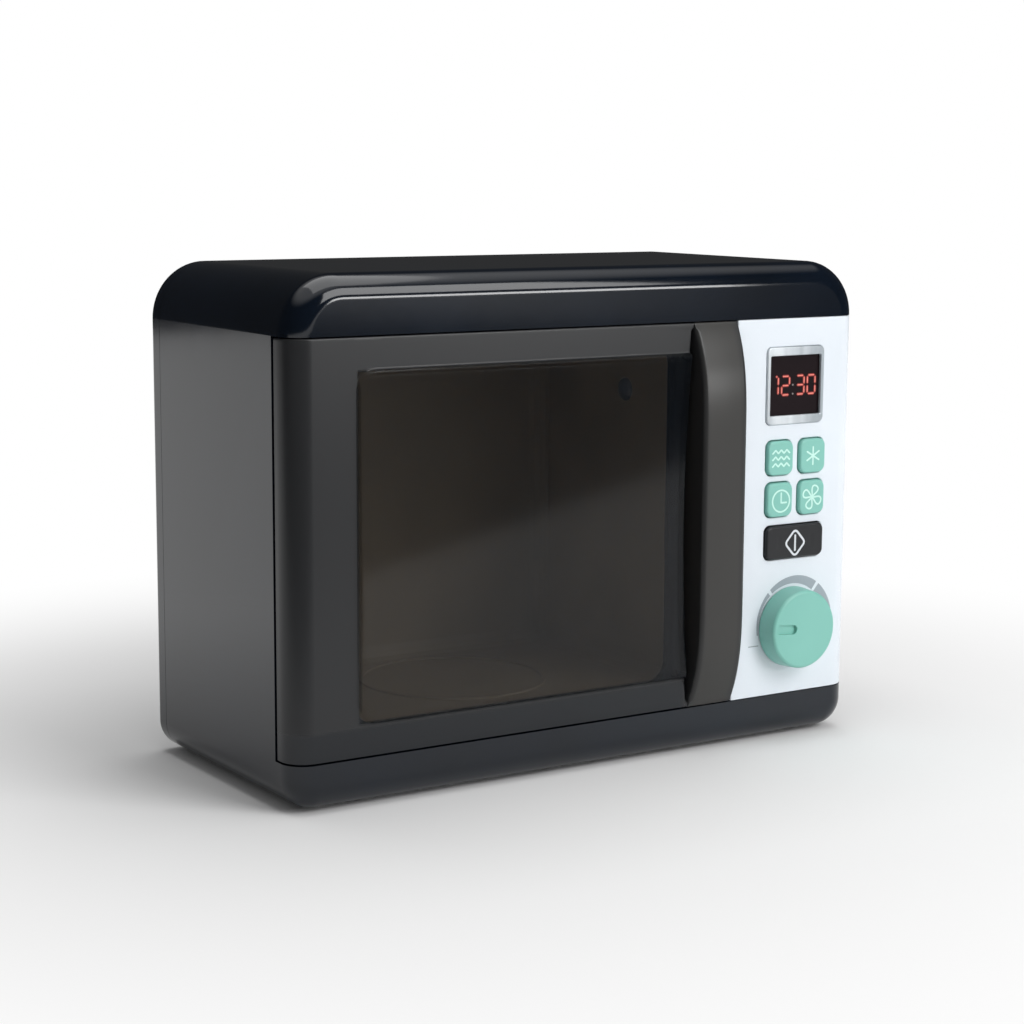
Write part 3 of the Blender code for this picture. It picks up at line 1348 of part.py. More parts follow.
def build_mat():
    centres = [key_centre(*step) for step in KEYS.values()] + [(KEYS_CENTRE_X, START_CENTRE_Z)]
    low_x = min(x for x, z in centres) - DOME_RADIUS - MAT_MARGIN
    high_x = max(x for x, z in centres) + DOME_RADIUS + MAT_MARGIN
    low_z = min(z for x, z in centres) - DOME_RADIUS - MAT_MARGIN
    high_z = max(z for x, z in centres) + DOME_RADIUS + MAT_MARGIN

    def domes(bm):
        for x, z in centres:
            start, end = (x, MAT_FACE + MAT_THICKNESS / 2, z), (x, MAT_FACE - DOME_HEIGHT, z)
            add_rod(bm, start, end, DOME_RADIUS, TINY_ROUND_SIDES, DOME_TOP_RADIUS)

    def hollows(bm):
        for x, z in centres:
            start, end = (x, MAT_BACK + OVERRUN, z), (x, MAT_FACE - DOME_HEIGHT + DOME_SKIN, z)
            add_rod(bm, start, end, DOME_RADIUS - DOME_SKIN, TINY_ROUND_SIDES, DOME_TOP_RADIUS - DOME_SKIN)

    def sheet(bm):
        add_box(bm, (low_x, MAT_FACE, low_z), (high_x, MAT_BACK, high_z))

    mat = new_piece("keypad_mat", sheet, silicone())
    join(mat, "domes", domes)
    cut(mat, "hollows", hollows)


# Screws

def add_screw(bm, length, head_radius):
    """A pan head screw that points along -Z, with the underside of its head at the origin."""
    profile = [(0, -length), (SCREW_SHANK_RADIUS, -length + SCREW_SHANK_RADIUS), (SCREW_SHANK_RADIUS, 0)]
    profile += [(head_radius, 0), (head_radius, SCREW_HEAD_HEIGHT / 2)]
    profile += [(head_radius - SCREW_HEAD_HEIGHT / 2, SCREW_HEAD_HEIGHT), (0, SCREW_HEAD_HEIGHT)]
    add_turned(bm, profile, Matrix.Identity(4), TINY_ROUND_SIDES)


def place_screws(name, length, places, y, head_radius=SCREW_HEAD_RADIUS):
    """Screws driven forwards, their heads' undersides at one depth."""
    mesh = mesh_of(name, lambda bm: add_screw(bm, length, head_radius))
    for i, (x, z) in enumerate(places, 1):
        label = f"{name}_{i}" if len(places) > 1 else name
        place_object(label, mesh, zinc_steel(), (x, y, z), (-math.pi / 2, 0, 0))


def build_screws():
    cover_seat = REAR - COVER_SCREW_SINK + SEAT_GAP
    hatch_seat = REAR - HATCH_SHELF + SEAT_GAP
    knob_seat = RATCHET_BACK + SEAT_GAP
    place_screws("cover_screw", COVER_SCREW_LENGTH, screw_places(), cover_seat)
    place_screws("panel_screw", PANEL_SCREW_LENGTH, panel_screw_places(), FRONT + FRAME_BACK + SEAT_GAP)
    place_screws("board_screw", BOARD_SCREW_LENGTH, board_screw_places(), BOARD_BACK + SEAT_GAP)
    place_screws("knob_screw", SCREW_LENGTH, [(KNOB_X, KNOB_Z)], knob_seat, KNOB_SCREW_HEAD_RADIUS)
    place_screws("battery_cover_screw", HATCH_SCREW_LENGTH, [hatch_screw_place()], hatch_seat)


# Rear cover

def hatch_low():
    return BAY_LOW - HATCH_TAIL


def hatch_high():
    return BAY_HIGH + HATCH_MARGIN


def hatch_screw_place():
    return BAY_CENTRE_X, BAY_LOW - (HATCH_TAIL + BAY_WALL) / 2


def hatch_box(bm, gap, start, end):
    half = BAY_HALF_WIDTH + HATCH_MARGIN + gap
    low = (BAY_CENTRE_X - half, start, hatch_low() - gap)
    add_box(bm, low, (BAY_CENTRE_X + half, end, hatch_high() + gap))


def grille_places():
    """Holes on rings about the speaker's centre, six more on each ring."""
    places = [(SPEAKER_X, SPEAKER_Z)]
    for ring in range(1, GRILLE_RINGS + 1):
        for i in range(6 * ring):
            turn = 2 * math.pi * i / (6 * ring)
            radius = ring * GRILLE_PITCH
            places.append((SPEAKER_X + radius * math.cos(turn), SPEAKER_Z + radius * math.sin(turn)))
    return places


def build_rear_cover():
    def form(skin, start):
        stations = quarter_stations(REAR_EDGE_RADIUS - skin, REAR - skin, SMALL_CORNER_STEPS, -1)
        rings = [body_ring(skin, start)]
        rings += [body_ring(skin + inset, y) for inset, y in stations[::-1]]
        return rings

    inner_face = REAR - WALL
    front_edge = SPLIT + SEAT_GAP

    def bosses(bm):
        add_screw_posts(bm, front_edge, REAR - WALL / 2)
        for x in (OVEN_LEFT + STAY_SIDE_INSET, OVEN_RIGHT - STAY_SIDE_INSET):
            for z in (OVEN_BOTTOM + STAY_END_INSET, OVEN_TOP - STAY_END_INSET):
                start = LINER_FRONT + LINER_DEPTH + SEAT_GAP
                add_rod(bm, (x, start, z), (x, REAR - WALL / 2, z), STAY_RADIUS, TINY_ROUND_SIDES)
        profile = (
            (SPEAKER_RADIUS + SEAT_GAP, 0),
            (SPEAKER_RADIUS + SEAT_GAP + SPEAKER_RING_WALL, 0),
            (SPEAKER_RADIUS + SEAT_GAP + SPEAKER_RING_WALL, SPEAKER_RING_LENGTH + WALL / 2),
            (SPEAKER_RADIUS + SEAT_GAP, SPEAKER_RING_LENGTH + WALL / 2),
        )
        place = facing((0, -1, 0), (SPEAKER_X, REAR - WALL / 2, SPEAKER_Z))
        add_turned(bm, profile, place, ROUND_SIDES, closed=True)

    def bay_block(bm):
        half = BAY_HALF_WIDTH + BAY_WALL
        add_box(
            bm,
            (BAY_CENTRE_X - half, REAR - BAY_DEPTH - BAY_WALL, BAY_LOW - BAY_WALL),
            (BAY_CENTRE_X + half, REAR - WALL / 2, BAY_HIGH + BAY_WALL),
        )
        hatch_box(bm, BAY_WALL, REAR - HATCH_THICKNESS - SEAT_GAP - BAY_WALL, REAR - WALL / 2)

    def hatch_boss(bm):
        x, z = hatch_screw_place()
        start = REAR - HATCH_THICKNESS - SEAT_GAP - BAY_WALL / 2
        floor = REAR - HATCH_PAD_DEPTH - SEAT_GAP
        add_rod(bm, (x, start, z), (x, floor - BAY_WALL, z), HATCH_PAD_RADIUS + SEAT_GAP + BAY_WALL)
        add_rod(bm, (x, start, z), (x, floor - HATCH_SCREW_LENGTH, z), HATCH_SCREW_BOSS, TINY_ROUND_SIDES)

    def bay_hollow(bm):
        add_box(
            bm,
            (BAY_CENTRE_X - BAY_HALF_WIDTH, REAR - BAY_DEPTH, BAY_LOW),
            (BAY_CENTRE_X + BAY_HALF_WIDTH, REAR + OVERRUN, BAY_HIGH),
        )

    def hatch_seat(bm):
        x, z = hatch_screw_place()
        hatch_box(bm, SEAT_GAP, REAR - HATCH_THICKNESS - SEAT_GAP, REAR + OVERRUN)
        add_rod(bm, (x, REAR - HATCH_PAD_DEPTH - SEAT_GAP, z), (x, REAR, z), HATCH_PAD_RADIUS + SEAT_GAP)

    def tab_slots(bm):
        for side in (-1, 1):
            low, high = tab_box(side, SEAT_GAP)
            add_box(bm, low, (high[0], high[1], BAY_HIGH + BAY_WALL + OVERRUN))

    def vents(bm):
        radius = VENT_WIDTH / 2
        reach = VENT_LENGTH / 2 - radius
        for share in VENT_COLUMN_SHARES:
            x = OVEN_LEFT + (OVEN_RIGHT - OVEN_LEFT) * share
            for i in range(VENT_COUNT):
                z = VENT_CENTRE_Z + (i - (VENT_COUNT - 1) / 2) * VENT_PITCH
                outline = arc((x - reach, z), radius, 0.25, 0.75, HOLE_SIDES // 2)
                outline += arc((x + reach, z), radius, -0.25, 0.25, HOLE_SIDES // 2)
                add_prism(bm, outline, on_front, inner_face - OVERRUN, REAR + OVERRUN)

    def round_holes(bm):
        start = inner_face - OVERRUN
        for x, z in grille_places():
            add_rod(bm, (x, start, z), (x, REAR + OVERRUN, z), GRILLE_HOLE_RADIUS, HOLE_SIDES)
        for x, z in screw_places():
            head = REAR - COVER_SCREW_SINK
            add_rod(bm, (x, head, z), (x, REAR + OVERRUN, z), COUNTERBORE_RADIUS, TINY_ROUND_SIDES)
            post_start = (x, front_edge - OVERRUN, z)
            add_rod(bm, post_start, (x, head + OVERRUN, z), SCREW_HOLE_RADIUS, TINY_ROUND_SIDES)
        x, z = hatch_screw_place()
        start = REAR - HATCH_SHELF - HATCH_SCREW_LENGTH - SEAT_GAP
        add_rod(bm, (x, start, z), (x, REAR, z), SCREW_PILOT_RADIUS, TINY_ROUND_SIDES)

    def lead_holes(bm):
        for side in (-1, 1):
            x = BAY_CENTRE_X + side * CELL_PITCH / 2
            radius = LEAD_RADIUS + LEAD_HOLE_CLEARANCE
            add_rod(
                bm,
                (x, REAR - BAY_DEPTH - BAY_WALL - OVERRUN, contact_lead_z()),
                (x, REAR - BAY_DEPTH + OVERRUN, contact_lead_z()),
                radius,
                TINY_ROUND_SIDES,
            )

    cover = new_piece("rear_cover", lambda bm: add_loft(bm, form(0, front_edge)), gloss_black())
    cut(cover, "inside", lambda bm: add_loft(bm, form(WALL, front_edge - OVERRUN)))
    join(cover, "bosses", bosses)
    join(cover, "bay block", bay_block)
    join(cover, "hatch boss", hatch_boss)
    cut(cover, "bay hollow", bay_hollow)
    cut(cover, "hatch seat", hatch_seat)
    cut(cover, "tab slots", tab_slots)
    cut(cover, "vents", vents)
    cut(cover, "round holes", round_holes)
    cut(cover, "lead holes", lead_holes)


def tab_box(side, gap):
    """A battery cover tab that hooks through the bay's top wall, under the shelf of its seat."""
    x = BAY_CENTRE_X + side * HATCH_TAB_OFFSET
    shelf = REAR - HATCH_THICKNESS - SEAT_GAP - BAY_WALL - SEAT_GAP
    half = HATCH_TAB_WIDTH / 2 + gap
    low = (x - half, shelf - HATCH_TAB_THICKNESS - gap, BAY_HIGH - HATCH_TAB_ROOT - gap)
    high = (x + half, shelf + gap, BAY_HIGH + HATCH_TAB_REACH)
    return low, high


def build_hatch():
    """The battery cover, flush in the rear cover, with two tabs and a hole for its screw."""

    def tabs(bm):
        for side in (-1, 1):
            low, high = tab_box(side, 0)
            add_prism(
                bm,
                [
                    (low[1], low[2]),
                    (REAR - HATCH_THICKNESS / 2, low[2]),
                    (REAR - HATCH_THICKNESS / 2, BAY_HIGH - SEAT_GAP),
                    (high[1], BAY_HIGH - SEAT_GAP),
                    (high[1], high[2]),
                    (low[1], high[2]),
                ],
                on_side,
                low[0],
                high[0],
            )

    def screw_pad(bm):
        x, z = hatch_screw_place()
        add_rod(bm, (x, REAR - HATCH_THICKNESS / 2, z), (x, REAR - HATCH_PAD_DEPTH, z), HATCH_PAD_RADIUS)

    def screw_hole(bm):
        x, z = hatch_screw_place()
        through = HATCH_PAD_DEPTH + OVERRUN
        for depth, radius in ((HATCH_SHELF, COUNTERBORE_RADIUS), (through, SCREW_HOLE_RADIUS)):
            add_rod(bm, (x, REAR - depth, z), (x, REAR + OVERRUN, z), radius, TINY_ROUND_SIDES)

    def plate(bm):
        hatch_box(bm, 0, REAR - HATCH_THICKNESS, REAR)

    hatch = new_piece("battery_cover", plate, gloss_black())
    join(hatch, "tabs", tabs)
    join(hatch, "screw pad", screw_pad)
    cut(hatch, "screw hole", screw_hole)


def contact_lead_z():
    return BAY_LOW + CONTACT_ROOM / 2


# Batteries and contacts

def build_batteries():
    profile = [(0, 0), (CELL_RADIUS, 0), (CELL_RADIUS, CELL_LENGTH), (CELL_NUB_RADIUS, CELL_LENGTH)]
    profile += [(CELL_NUB_RADIUS, CELL_TOTAL), (0, CELL_TOTAL)]
    to_middle = Matrix.Translation((0, 0, -CELL_TOTAL / 2))
    mesh = mesh_of("cell", lambda bm: add_turned(bm, profile, to_middle, SMALL_ROUND_SIDES))
    for name, side, turn in (("battery_left", -1, 0), ("battery_right", 1, math.pi)):
        x = BAY_CENTRE_X + side * CELL_PITCH / 2
        place_object(name, mesh, cell_sleeve(), (x, CELL_Y, BAY_CENTRE_Z), (turn, 0, 0))


def build_contacts():
    """Bowed leaf contacts: ends near the bay's wall, crest near the cell."""
    rise = CONTACT_ROOM - 2 * SEAT_GAP - CONTACT_STRIP
    half = CONTACT_HEIGHT / 2
    steps = SMALL_CORNER_STEPS * 2

    def leaf(centre_x, width, wall_z, way):
        bow = []
        for i in range(steps + 1):
            share = 2 * i / steps - 1
            bow.append((CELL_Y + share * half, rise * (1 - share**2)))
        inner = [(y, wall_z + way * (SEAT_GAP + height)) for y, height in bow]
        outer = [(y, wall_z + way * (SEAT_GAP + height + CONTACT_STRIP)) for y, height in bow]
        outline = inner + outer[::-1]
        return lambda bm: add_prism(bm, outline, on_side, centre_x - width / 2, centre_x + width / 2)

    offset = CELL_PITCH / 2
    link_width = CELL_PITCH + CONTACT_WIDTH
    new_piece("contact_link", leaf(BAY_CENTRE_X, link_width, BAY_HIGH, -1), spring_steel())
    new_piece("contact_positive", leaf(BAY_CENTRE_X + offset, CONTACT_WIDTH, BAY_LOW, 1), spring_steel())
    new_piece("contact_negative", leaf(BAY_CENTRE_X - offset, CONTACT_WIDTH, BAY_LOW, 1), spring_steel())


# Speaker

def build_speaker():
    seat = REAR - WALL - SEAT_GAP
    place = facing((0, -1, 0), (SPEAKER_X, seat, SPEAKER_Z))
    inner = SPEAKER_RADIUS - SPEAKER_RIM
    throat = CONE_THROAT_RADIUS
    depth = SPEAKER_BASKET_DEPTH

    def frame(bm):
        profile = [
            (0, depth),
            (throat, depth),
            (inner - SPEAKER_SKIN, SPEAKER_RIM_THICKNESS),
            (inner - SPEAKER_SKIN, 0),
            (SPEAKER_RADIUS, 0),
            (SPEAKER_RADIUS, SPEAKER_RIM_THICKNESS),
            (inner, SPEAKER_RIM_THICKNESS),
            (MAGNET_RADIUS, depth),
            (MAGNET_RADIUS, depth + MAGNET_DEPTH),
            (0, depth + MAGNET_DEPTH),
        ]
        add_turned(bm, profile, place, SMALL_ROUND_SIDES)

    def cone(bm):
        outer = inner - SPEAKER_SKIN - SEAT_GAP
        gap = SEAT_GAP * CONE_GAP_SHARE
        floor = depth - gap - CONE_SKIN
        low = SPEAKER_RIM_THICKNESS - gap
        profile = [
            (0, floor),
            (throat - gap, floor),
            (outer - gap, low),
            (outer, low - CONE_SKIN),
            (outer - gap, low - CONE_SKIN),
            (throat - gap, floor - CONE_SKIN),
            (0, floor - CONE_SKIN),
        ]
        add_turned(bm, profile, place, SMALL_ROUND_SIDES)

    new_piece("speaker_frame", frame, zinc_steel())
    new_piece("speaker_cone", cone, finish("black paper", (0.02, 0.02, 0.02), 0.80))


# Inner wires

def smooth_route(places):
    """Points read at an even step from a smooth curve through the route's places."""
    points = [Vector(place) for place in places]
    ends = [points[0] * 2 - points[1]] + points + [points[-1] * 2 - points[-2]]
    route = []
    for before, start, end, after in zip(ends, ends[1:], ends[2:], ends[3:]):
        steps = max(2, round((end - start).length / LEAD_STEP))
        for i in range(steps):
            share = i / steps
            cubic = (
                start * 2
                + (end - before) * share
                + (before * 2 - start * 5 + end * 4 - after) * share**2
                + (start * 3 - before - end * 3 + after) * share**3
            )
            route.append(cubic / 2)
    route.append(points[-1])
    return route


def build_lead(name, places, material):
    curve = bpy.data.curves.new(name, "CURVE")
    curve.dimensions = "3D"
    curve.bevel_depth = LEAD_RADIUS
    curve.bevel_resolution = 1
    curve.use_fill_caps = True
    route = smooth_route(places)
    spline = curve.splines.new("POLY")
    spline.points.add(len(route) - 1)
    for point, place in zip(spline.points, route):
        point.co = (*place, 1)
    curve.materials.append(material)
    lead = bpy.data.objects.new(name, curve)
    bpy.context.scene.collection.objects.link(lead)


def build_leads():
    solder = BOARD_BACK + SEAT_GAP
    bay_mouth = REAR - BAY_DEPTH - BAY_WALL
    pad_z = BOARD_BOTTOM + LEAD_PAD_RISE
    for name, side, inset, colour in (
        ("battery_lead_red", 1, RED_PAD_INSET, (0.55, 0.02, 0.02)),
        ("battery_lead_black", -1, BLACK_PAD_INSET, (0.01, 0.01, 0.01)),
    ):
        x = BAY_CENTRE_X + side * CELL_PITCH / 2
        z = contact_lead_z()
        places = [
            (RIGHT - inset, solder, pad_z),
            (RIGHT - inset, solder + LEAD_BELLY, pad_z),
            (x, bay_mouth - 2 * LEAD_BELLY, z),
            (x, bay_mouth - LEAD_BELLY, z),
            (x, bay_mouth, z),
            (x, CELL_Y - CONTACT_HEIGHT / 2 - SEAT_GAP, z),
        ]
        build_lead(name, places, wire_cover(name.replace("_", " "), colour))
    basket = REAR - WALL - SPEAKER_BASKET_DEPTH - MAGNET_DEPTH - 2 * SEAT_GAP - LEAD_RADIUS
    pad_x, pad_z = RIGHT - SPEAKER_PAD_INSET, BOARD_TOP - SPEAKER_PAD_DROP
    places = [
        (pad_x, solder, pad_z),
        (pad_x, solder + LEAD_BELLY, pad_z),
        (SPEAKER_X, basket - LEAD_BELLY, SPEAKER_Z - LEAD_BELLY),
        (SPEAKER_X, basket, SPEAKER_Z),
    ]
    build_lead("speaker_lead", places, wire_cover("speaker lead", (0.30, 0.30, 0.32)))
    led_end = OVEN_RIGHT + LINER_WALL + LENS_THICKNESS + LED_LENGTH + LED_LEG_LENGTH + 3 * SEAT_GAP
    places = [
        (led_end, LAMP_Y, LAMP_Z),
        (led_end + LEAD_BELLY / 2, LAMP_Y, LAMP_Z),
        (BOARD_LEFT + LED_PAD_INSET, (LAMP_Y + solder) / 2, LAMP_Z),
        (BOARD_LEFT + LED_PAD_INSET, solder, LAMP_Z),
    ]
    build_lead("led_lead", places, wire_cover("lamp lead", (0.05, 0.08, 0.30)))


def clear_scene():
    for obj in list(bpy.data.objects):
        bpy.data.objects.remove(obj, do_unlink=True)


def main():
    clear_scene()
    build_housing()
    build_door()
    build_liner()
    build_lamp()
    build_panel()
    build_display()
    build_keys()
    build_start_key()
    build_knob()
    build_ratchet()
    build_click_spring()
    build_board()
    build_mat()
    build_rear_cover()
    build_hatch()
    build_batteries()
    build_contacts()
    build_speaker()
    build_screws()
    build_leads()


main()
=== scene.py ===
"""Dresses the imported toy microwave: finer skins for its mouldings, printed marks, finishes, studio.

Metres, +Z up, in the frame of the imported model: the front faces -Y, the floor is at Z = 0.
"""

import json
import logging
import math
from collections.abc import Iterable, Sequence
from dataclasses import dataclass, field
from enum import Enum

import bmesh
import bpy
import numpy as np
from mathutils import Matrix, Vector

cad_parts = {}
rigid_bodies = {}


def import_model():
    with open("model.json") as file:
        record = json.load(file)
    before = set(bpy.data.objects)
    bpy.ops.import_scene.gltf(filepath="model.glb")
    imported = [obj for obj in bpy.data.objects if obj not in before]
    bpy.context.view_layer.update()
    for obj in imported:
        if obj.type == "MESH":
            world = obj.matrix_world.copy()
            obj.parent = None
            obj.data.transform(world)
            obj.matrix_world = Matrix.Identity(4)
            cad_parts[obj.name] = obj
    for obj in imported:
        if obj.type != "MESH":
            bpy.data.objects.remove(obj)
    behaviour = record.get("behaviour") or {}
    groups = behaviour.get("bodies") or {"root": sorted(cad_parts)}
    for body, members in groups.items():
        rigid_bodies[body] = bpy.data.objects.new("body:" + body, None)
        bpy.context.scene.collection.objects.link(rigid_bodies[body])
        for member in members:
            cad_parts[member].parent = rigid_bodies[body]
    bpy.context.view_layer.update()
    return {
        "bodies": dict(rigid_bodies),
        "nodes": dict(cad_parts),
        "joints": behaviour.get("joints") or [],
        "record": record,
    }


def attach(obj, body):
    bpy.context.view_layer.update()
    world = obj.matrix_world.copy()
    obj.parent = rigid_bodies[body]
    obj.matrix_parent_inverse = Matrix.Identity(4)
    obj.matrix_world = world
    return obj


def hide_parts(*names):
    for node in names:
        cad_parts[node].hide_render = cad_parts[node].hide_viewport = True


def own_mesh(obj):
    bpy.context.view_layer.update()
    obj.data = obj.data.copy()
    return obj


LOG = logging.getLogger("microwave")
MM = 0.001
OVERRUN = 2.0 * MM
PRINT_RISE = 0.05 * MM
PRINT_ROOT = 0.10 * MM
LAYER_STEP = 0.008 * MM
WELD_DISTANCE = 0.002 * MM
QUARTER = math.pi / 2
# A round end stops this short of a half circle, so that no two of its points meet.
ROUND_END = 0.999
END_STEPS = 5
EDGE_STEPS = 3
# Edges that turn more than the first are rounded, and in a finished piece more than the second
# stay sharp.
ROUNDED_DEGREES = 50.0
SHARP_DEGREES = 32.0
Array = np.ndarray
Mesh = bpy.types.Mesh
Node = bpy.types.Node
Socket = bpy.types.NodeSocket
Tree = bpy.types.NodeTree
Object = bpy.types.Object
Pair = tuple[float, float]
Triple = tuple[float, float, float]
Point = Sequence[float]


# Colour and node tools


def linear(hex_colour: str) -> tuple[float, float, float, float]:
    """Turns an sRGB hex colour into the linear colour that shaders take.

    Args:
        hex_colour: A colour such as "#83cdbb".

    Returns:
        Linear red, green and blue with an alpha of 1.
    """
    shares = [int(hex_colour[i:i + 2], 16) / 255 for i in (1, 3, 5)]
    red, green, blue = (c / 12.92 if c <= 0.04045 else ((c + 0.055) / 1.055) ** 2.4 for c in shares)
    return red, green, blue, 1.0


def add_node(
    tree: Tree,
    kind: str,
    settings: dict[str | int, object] | None = None,
    links: dict[str | int, Socket] | None = None,
) -> Node:
    """Adds a node with its settings and links.

    Args:
        tree: The material's or world's node tree.
        kind: The node's type name without its "ShaderNode" start.
        settings: Values by name. A lower-case name is the node's own property, any other an input.
        links: Output sockets by the input that each one feeds.

    Returns:
        The new node.
    """
    node = tree.nodes.new("ShaderNode" + kind)
    for key, value in (settings or {}).items():
        if isinstance(key, str) and key[0].islower():
            setattr(node, key, value)
        else:
            node.inputs[key].default_value = value
    for key, socket in (links or {}).items():
        tree.links.new(socket, node.inputs[key])
    return node


def add_material(name: str) -> tuple[bpy.types.Material, Tree, Node]:
    """A new material.

    Args:
        name: Its name.

    Returns:
        The material, its node tree and its Principled BSDF.
    """
    material = bpy.data.materials.new(name)
    material.use_nodes = True
    return material, material.node_tree, material.node_tree.nodes["Principled BSDF"]


def set_inputs(node: Node, values: dict[str, object]) -> None:
    """Sets constant values on a node's own sockets."""
    for name, value in values.items():
        node.inputs[name].default_value = value


# Finishes


@dataclass(frozen=True)
class Relief:
    """The fine relief that a way of making leaves on a surface."""

    size_mm: float
    depth_mm: float
    spread: float
    stretch: Triple = (1.0, 1.0, 1.0)


class Making(Enum):
    """How a surface was made."""

    # A polished mould leaves broad, very shallow waves, which bend reflections a little.
    POLISHED = Relief(size_mm=14.0, depth_mm=0.010, spread=0.05)
    # A spark-eroded mould leaves fine satin pits. Real ones are 0.1 mm, drawn at 0.5 mm to show.
    SPARKED = Relief(size_mm=0.5, depth_mm=0.006, spread=0.08)
    # Brushing leaves scratches along X, 0.25 mm apart and long.
    BRUSHED = Relief(size_mm=0.25, depth_mm=0.003, spread=0.14, stretch=(0.02, 1.0, 1.0))
    # Rolled or drawn metal, with faint broad streaks along Z.
    DRAWN = Relief(size_mm=0.8, depth_mm=0.002, spread=0.10, stretch=(1.0, 1.0, 0.1))
    # Screen print ink, a little uneven where the mesh lifted off.
    PRINTED = Relief(size_mm=0.6, depth_mm=0.004, spread=0.10)
    # Laminated board and paper, with a fibrous tooth.
    FIBROUS = Relief(size_mm=0.9, depth_mm=0.020, spread=0.12, stretch=(1.0, 1.0, 0.3))


@dataclass(frozen=True)
class Finish:
    """A real substance with the surface that its making gives it."""

    name: str
    colour: str
    drift: str
    roughness: float
    making: Making = Making.SPARKED
    metallic: float = 0.0
    specular: float = 0.5
    transmission: float = 0.0
    alpha: float = 1.0
    drift_mm: float = 60.0
    drift_stretch: Triple = (1.0, 1.0, 1.0)

    def material(self) -> bpy.types.Material:
        """Returns this finish's material, made once."""
        return bpy.data.materials.get(self.name) or self.build()

    def build(self) -> bpy.types.Material:
        """Builds the node material: slow drift of colour, uneven gloss and fine relief.

        Returns:
            The new material.
        """
        material, tree, shader = add_material(self.name)
        set_inputs(shader, {"Metallic": self.metallic, "Specular IOR Level": self.specular})
        set_inputs(shader, {"Transmission Weight": self.transmission, "Alpha": self.alpha})
        place = add_node(tree, "TexCoord").outputs["Object"]
        self.colour_nodes(tree, shader, place)
        self.relief_nodes(tree, shader, place)
        return material

    def colour_nodes(self, tree: Tree, shader: Node, place: Socket) -> None:
        """Mixes the two colours by broad noise, whose scale is one wave in drift_mm.

        Args:
            tree: The material's node tree.
            shader: The Principled BSDF.
            place: Object coordinates, in metres.
        """
        turned = add_node(tree, "Mapping", {"Scale": self.drift_stretch}, {"Vector": place})
        scale = {"Scale": 1 / (self.drift_mm * MM), "Detail": 3.0}
        cloud = add_node(tree, "TexNoise", scale, {"Vector": turned.outputs[0]})
        span = {"From Min": 0.35, "From Max": 0.65}
        share = add_node(tree, "MapRange", span, {"Value": cloud.outputs["Fac"]})
        colours = {"data_type": "RGBA", 6: linear(self.colour), 7: linear(self.drift)}
        mix = add_node(tree, "Mix", colours, {0: share.outputs["Result"]})
        tree.links.new(mix.outputs[2], shader.inputs["Base Color"])

    def relief_nodes(self, tree: Tree, shader: Node, place: Socket) -> None:
        """Bump and uneven gloss from noise of the making's size, one wave in size_mm.

        Args:
            tree: The material's node tree.
            shader: The Principled BSDF.
            place: Object coordinates, in metres.
        """
        relief = self.making.value
        turned = add_node(tree, "Mapping", {"Scale": relief.stretch}, {"Vector": place})
        scale = {"Scale": 1 / (relief.size_mm * MM), "Detail": 4.0}
        noise = add_node(tree, "TexNoise", scale, {"Vector": turned.outputs["Vector"]})
        low, high = self.roughness * (1 - relief.spread), self.roughness * (1 + relief.spread)
        span = {"From Min": 0.3, "From Max": 0.7, "To Min": low, "To Max": high}
        gloss = add_node(tree, "MapRange", span, {"Value": noise.outputs["Fac"]})
        tree.links.new(gloss.outputs["Result"], shader.inputs["Roughness"])
        depth = {"Strength": 1.0, "Distance": relief.depth_mm * MM}
        bump = add_node(tree, "Bump", depth, {"Height": noise.outputs["Fac"]})
        tree.links.new(bump.outputs["Normal"], shader.inputs["Normal"])


@dataclass(frozen=True)
class Zone:
    """A box of the door in X and Z, in metres, whose edges fade over a width."""

    low: Pair
    high: Pair
    fade: float = 0.8 * MM

    def share(self, tree: Tree, parts: Node) -> Socket:
        """A share of 1 inside the zone and 0 outside it.

        Args:
            tree: The material's node tree.
            parts: The node that separates object coordinates.

        Returns:
            The socket that gives the share.
        """
        shares = []
        for axis, low, high in zip(("X", "Z"), self.low, self.high):
            middle, half = (low + high) / 2, (high - low) / 2
            off = add_node(tree, "Math", {"operation": "SUBTRACT", 1: middle}, {0: parts.outputs[axis]})
            size = add_node(tree, "Math", {"operation": "ABSOLUTE"}, {0: off.outputs[0]})
            edge = {"From Min": half + self.fade, "From Max": half - self.fade}
            inside = add_node(tree, "MapRange", edge, {"Value": size.outputs[0]})
            shares.append(inside.outputs["Result"])
        return add_node(tree, "Math", {"operation": "MULTIPLY"}, dict(enumerate(shares))).outputs[0]


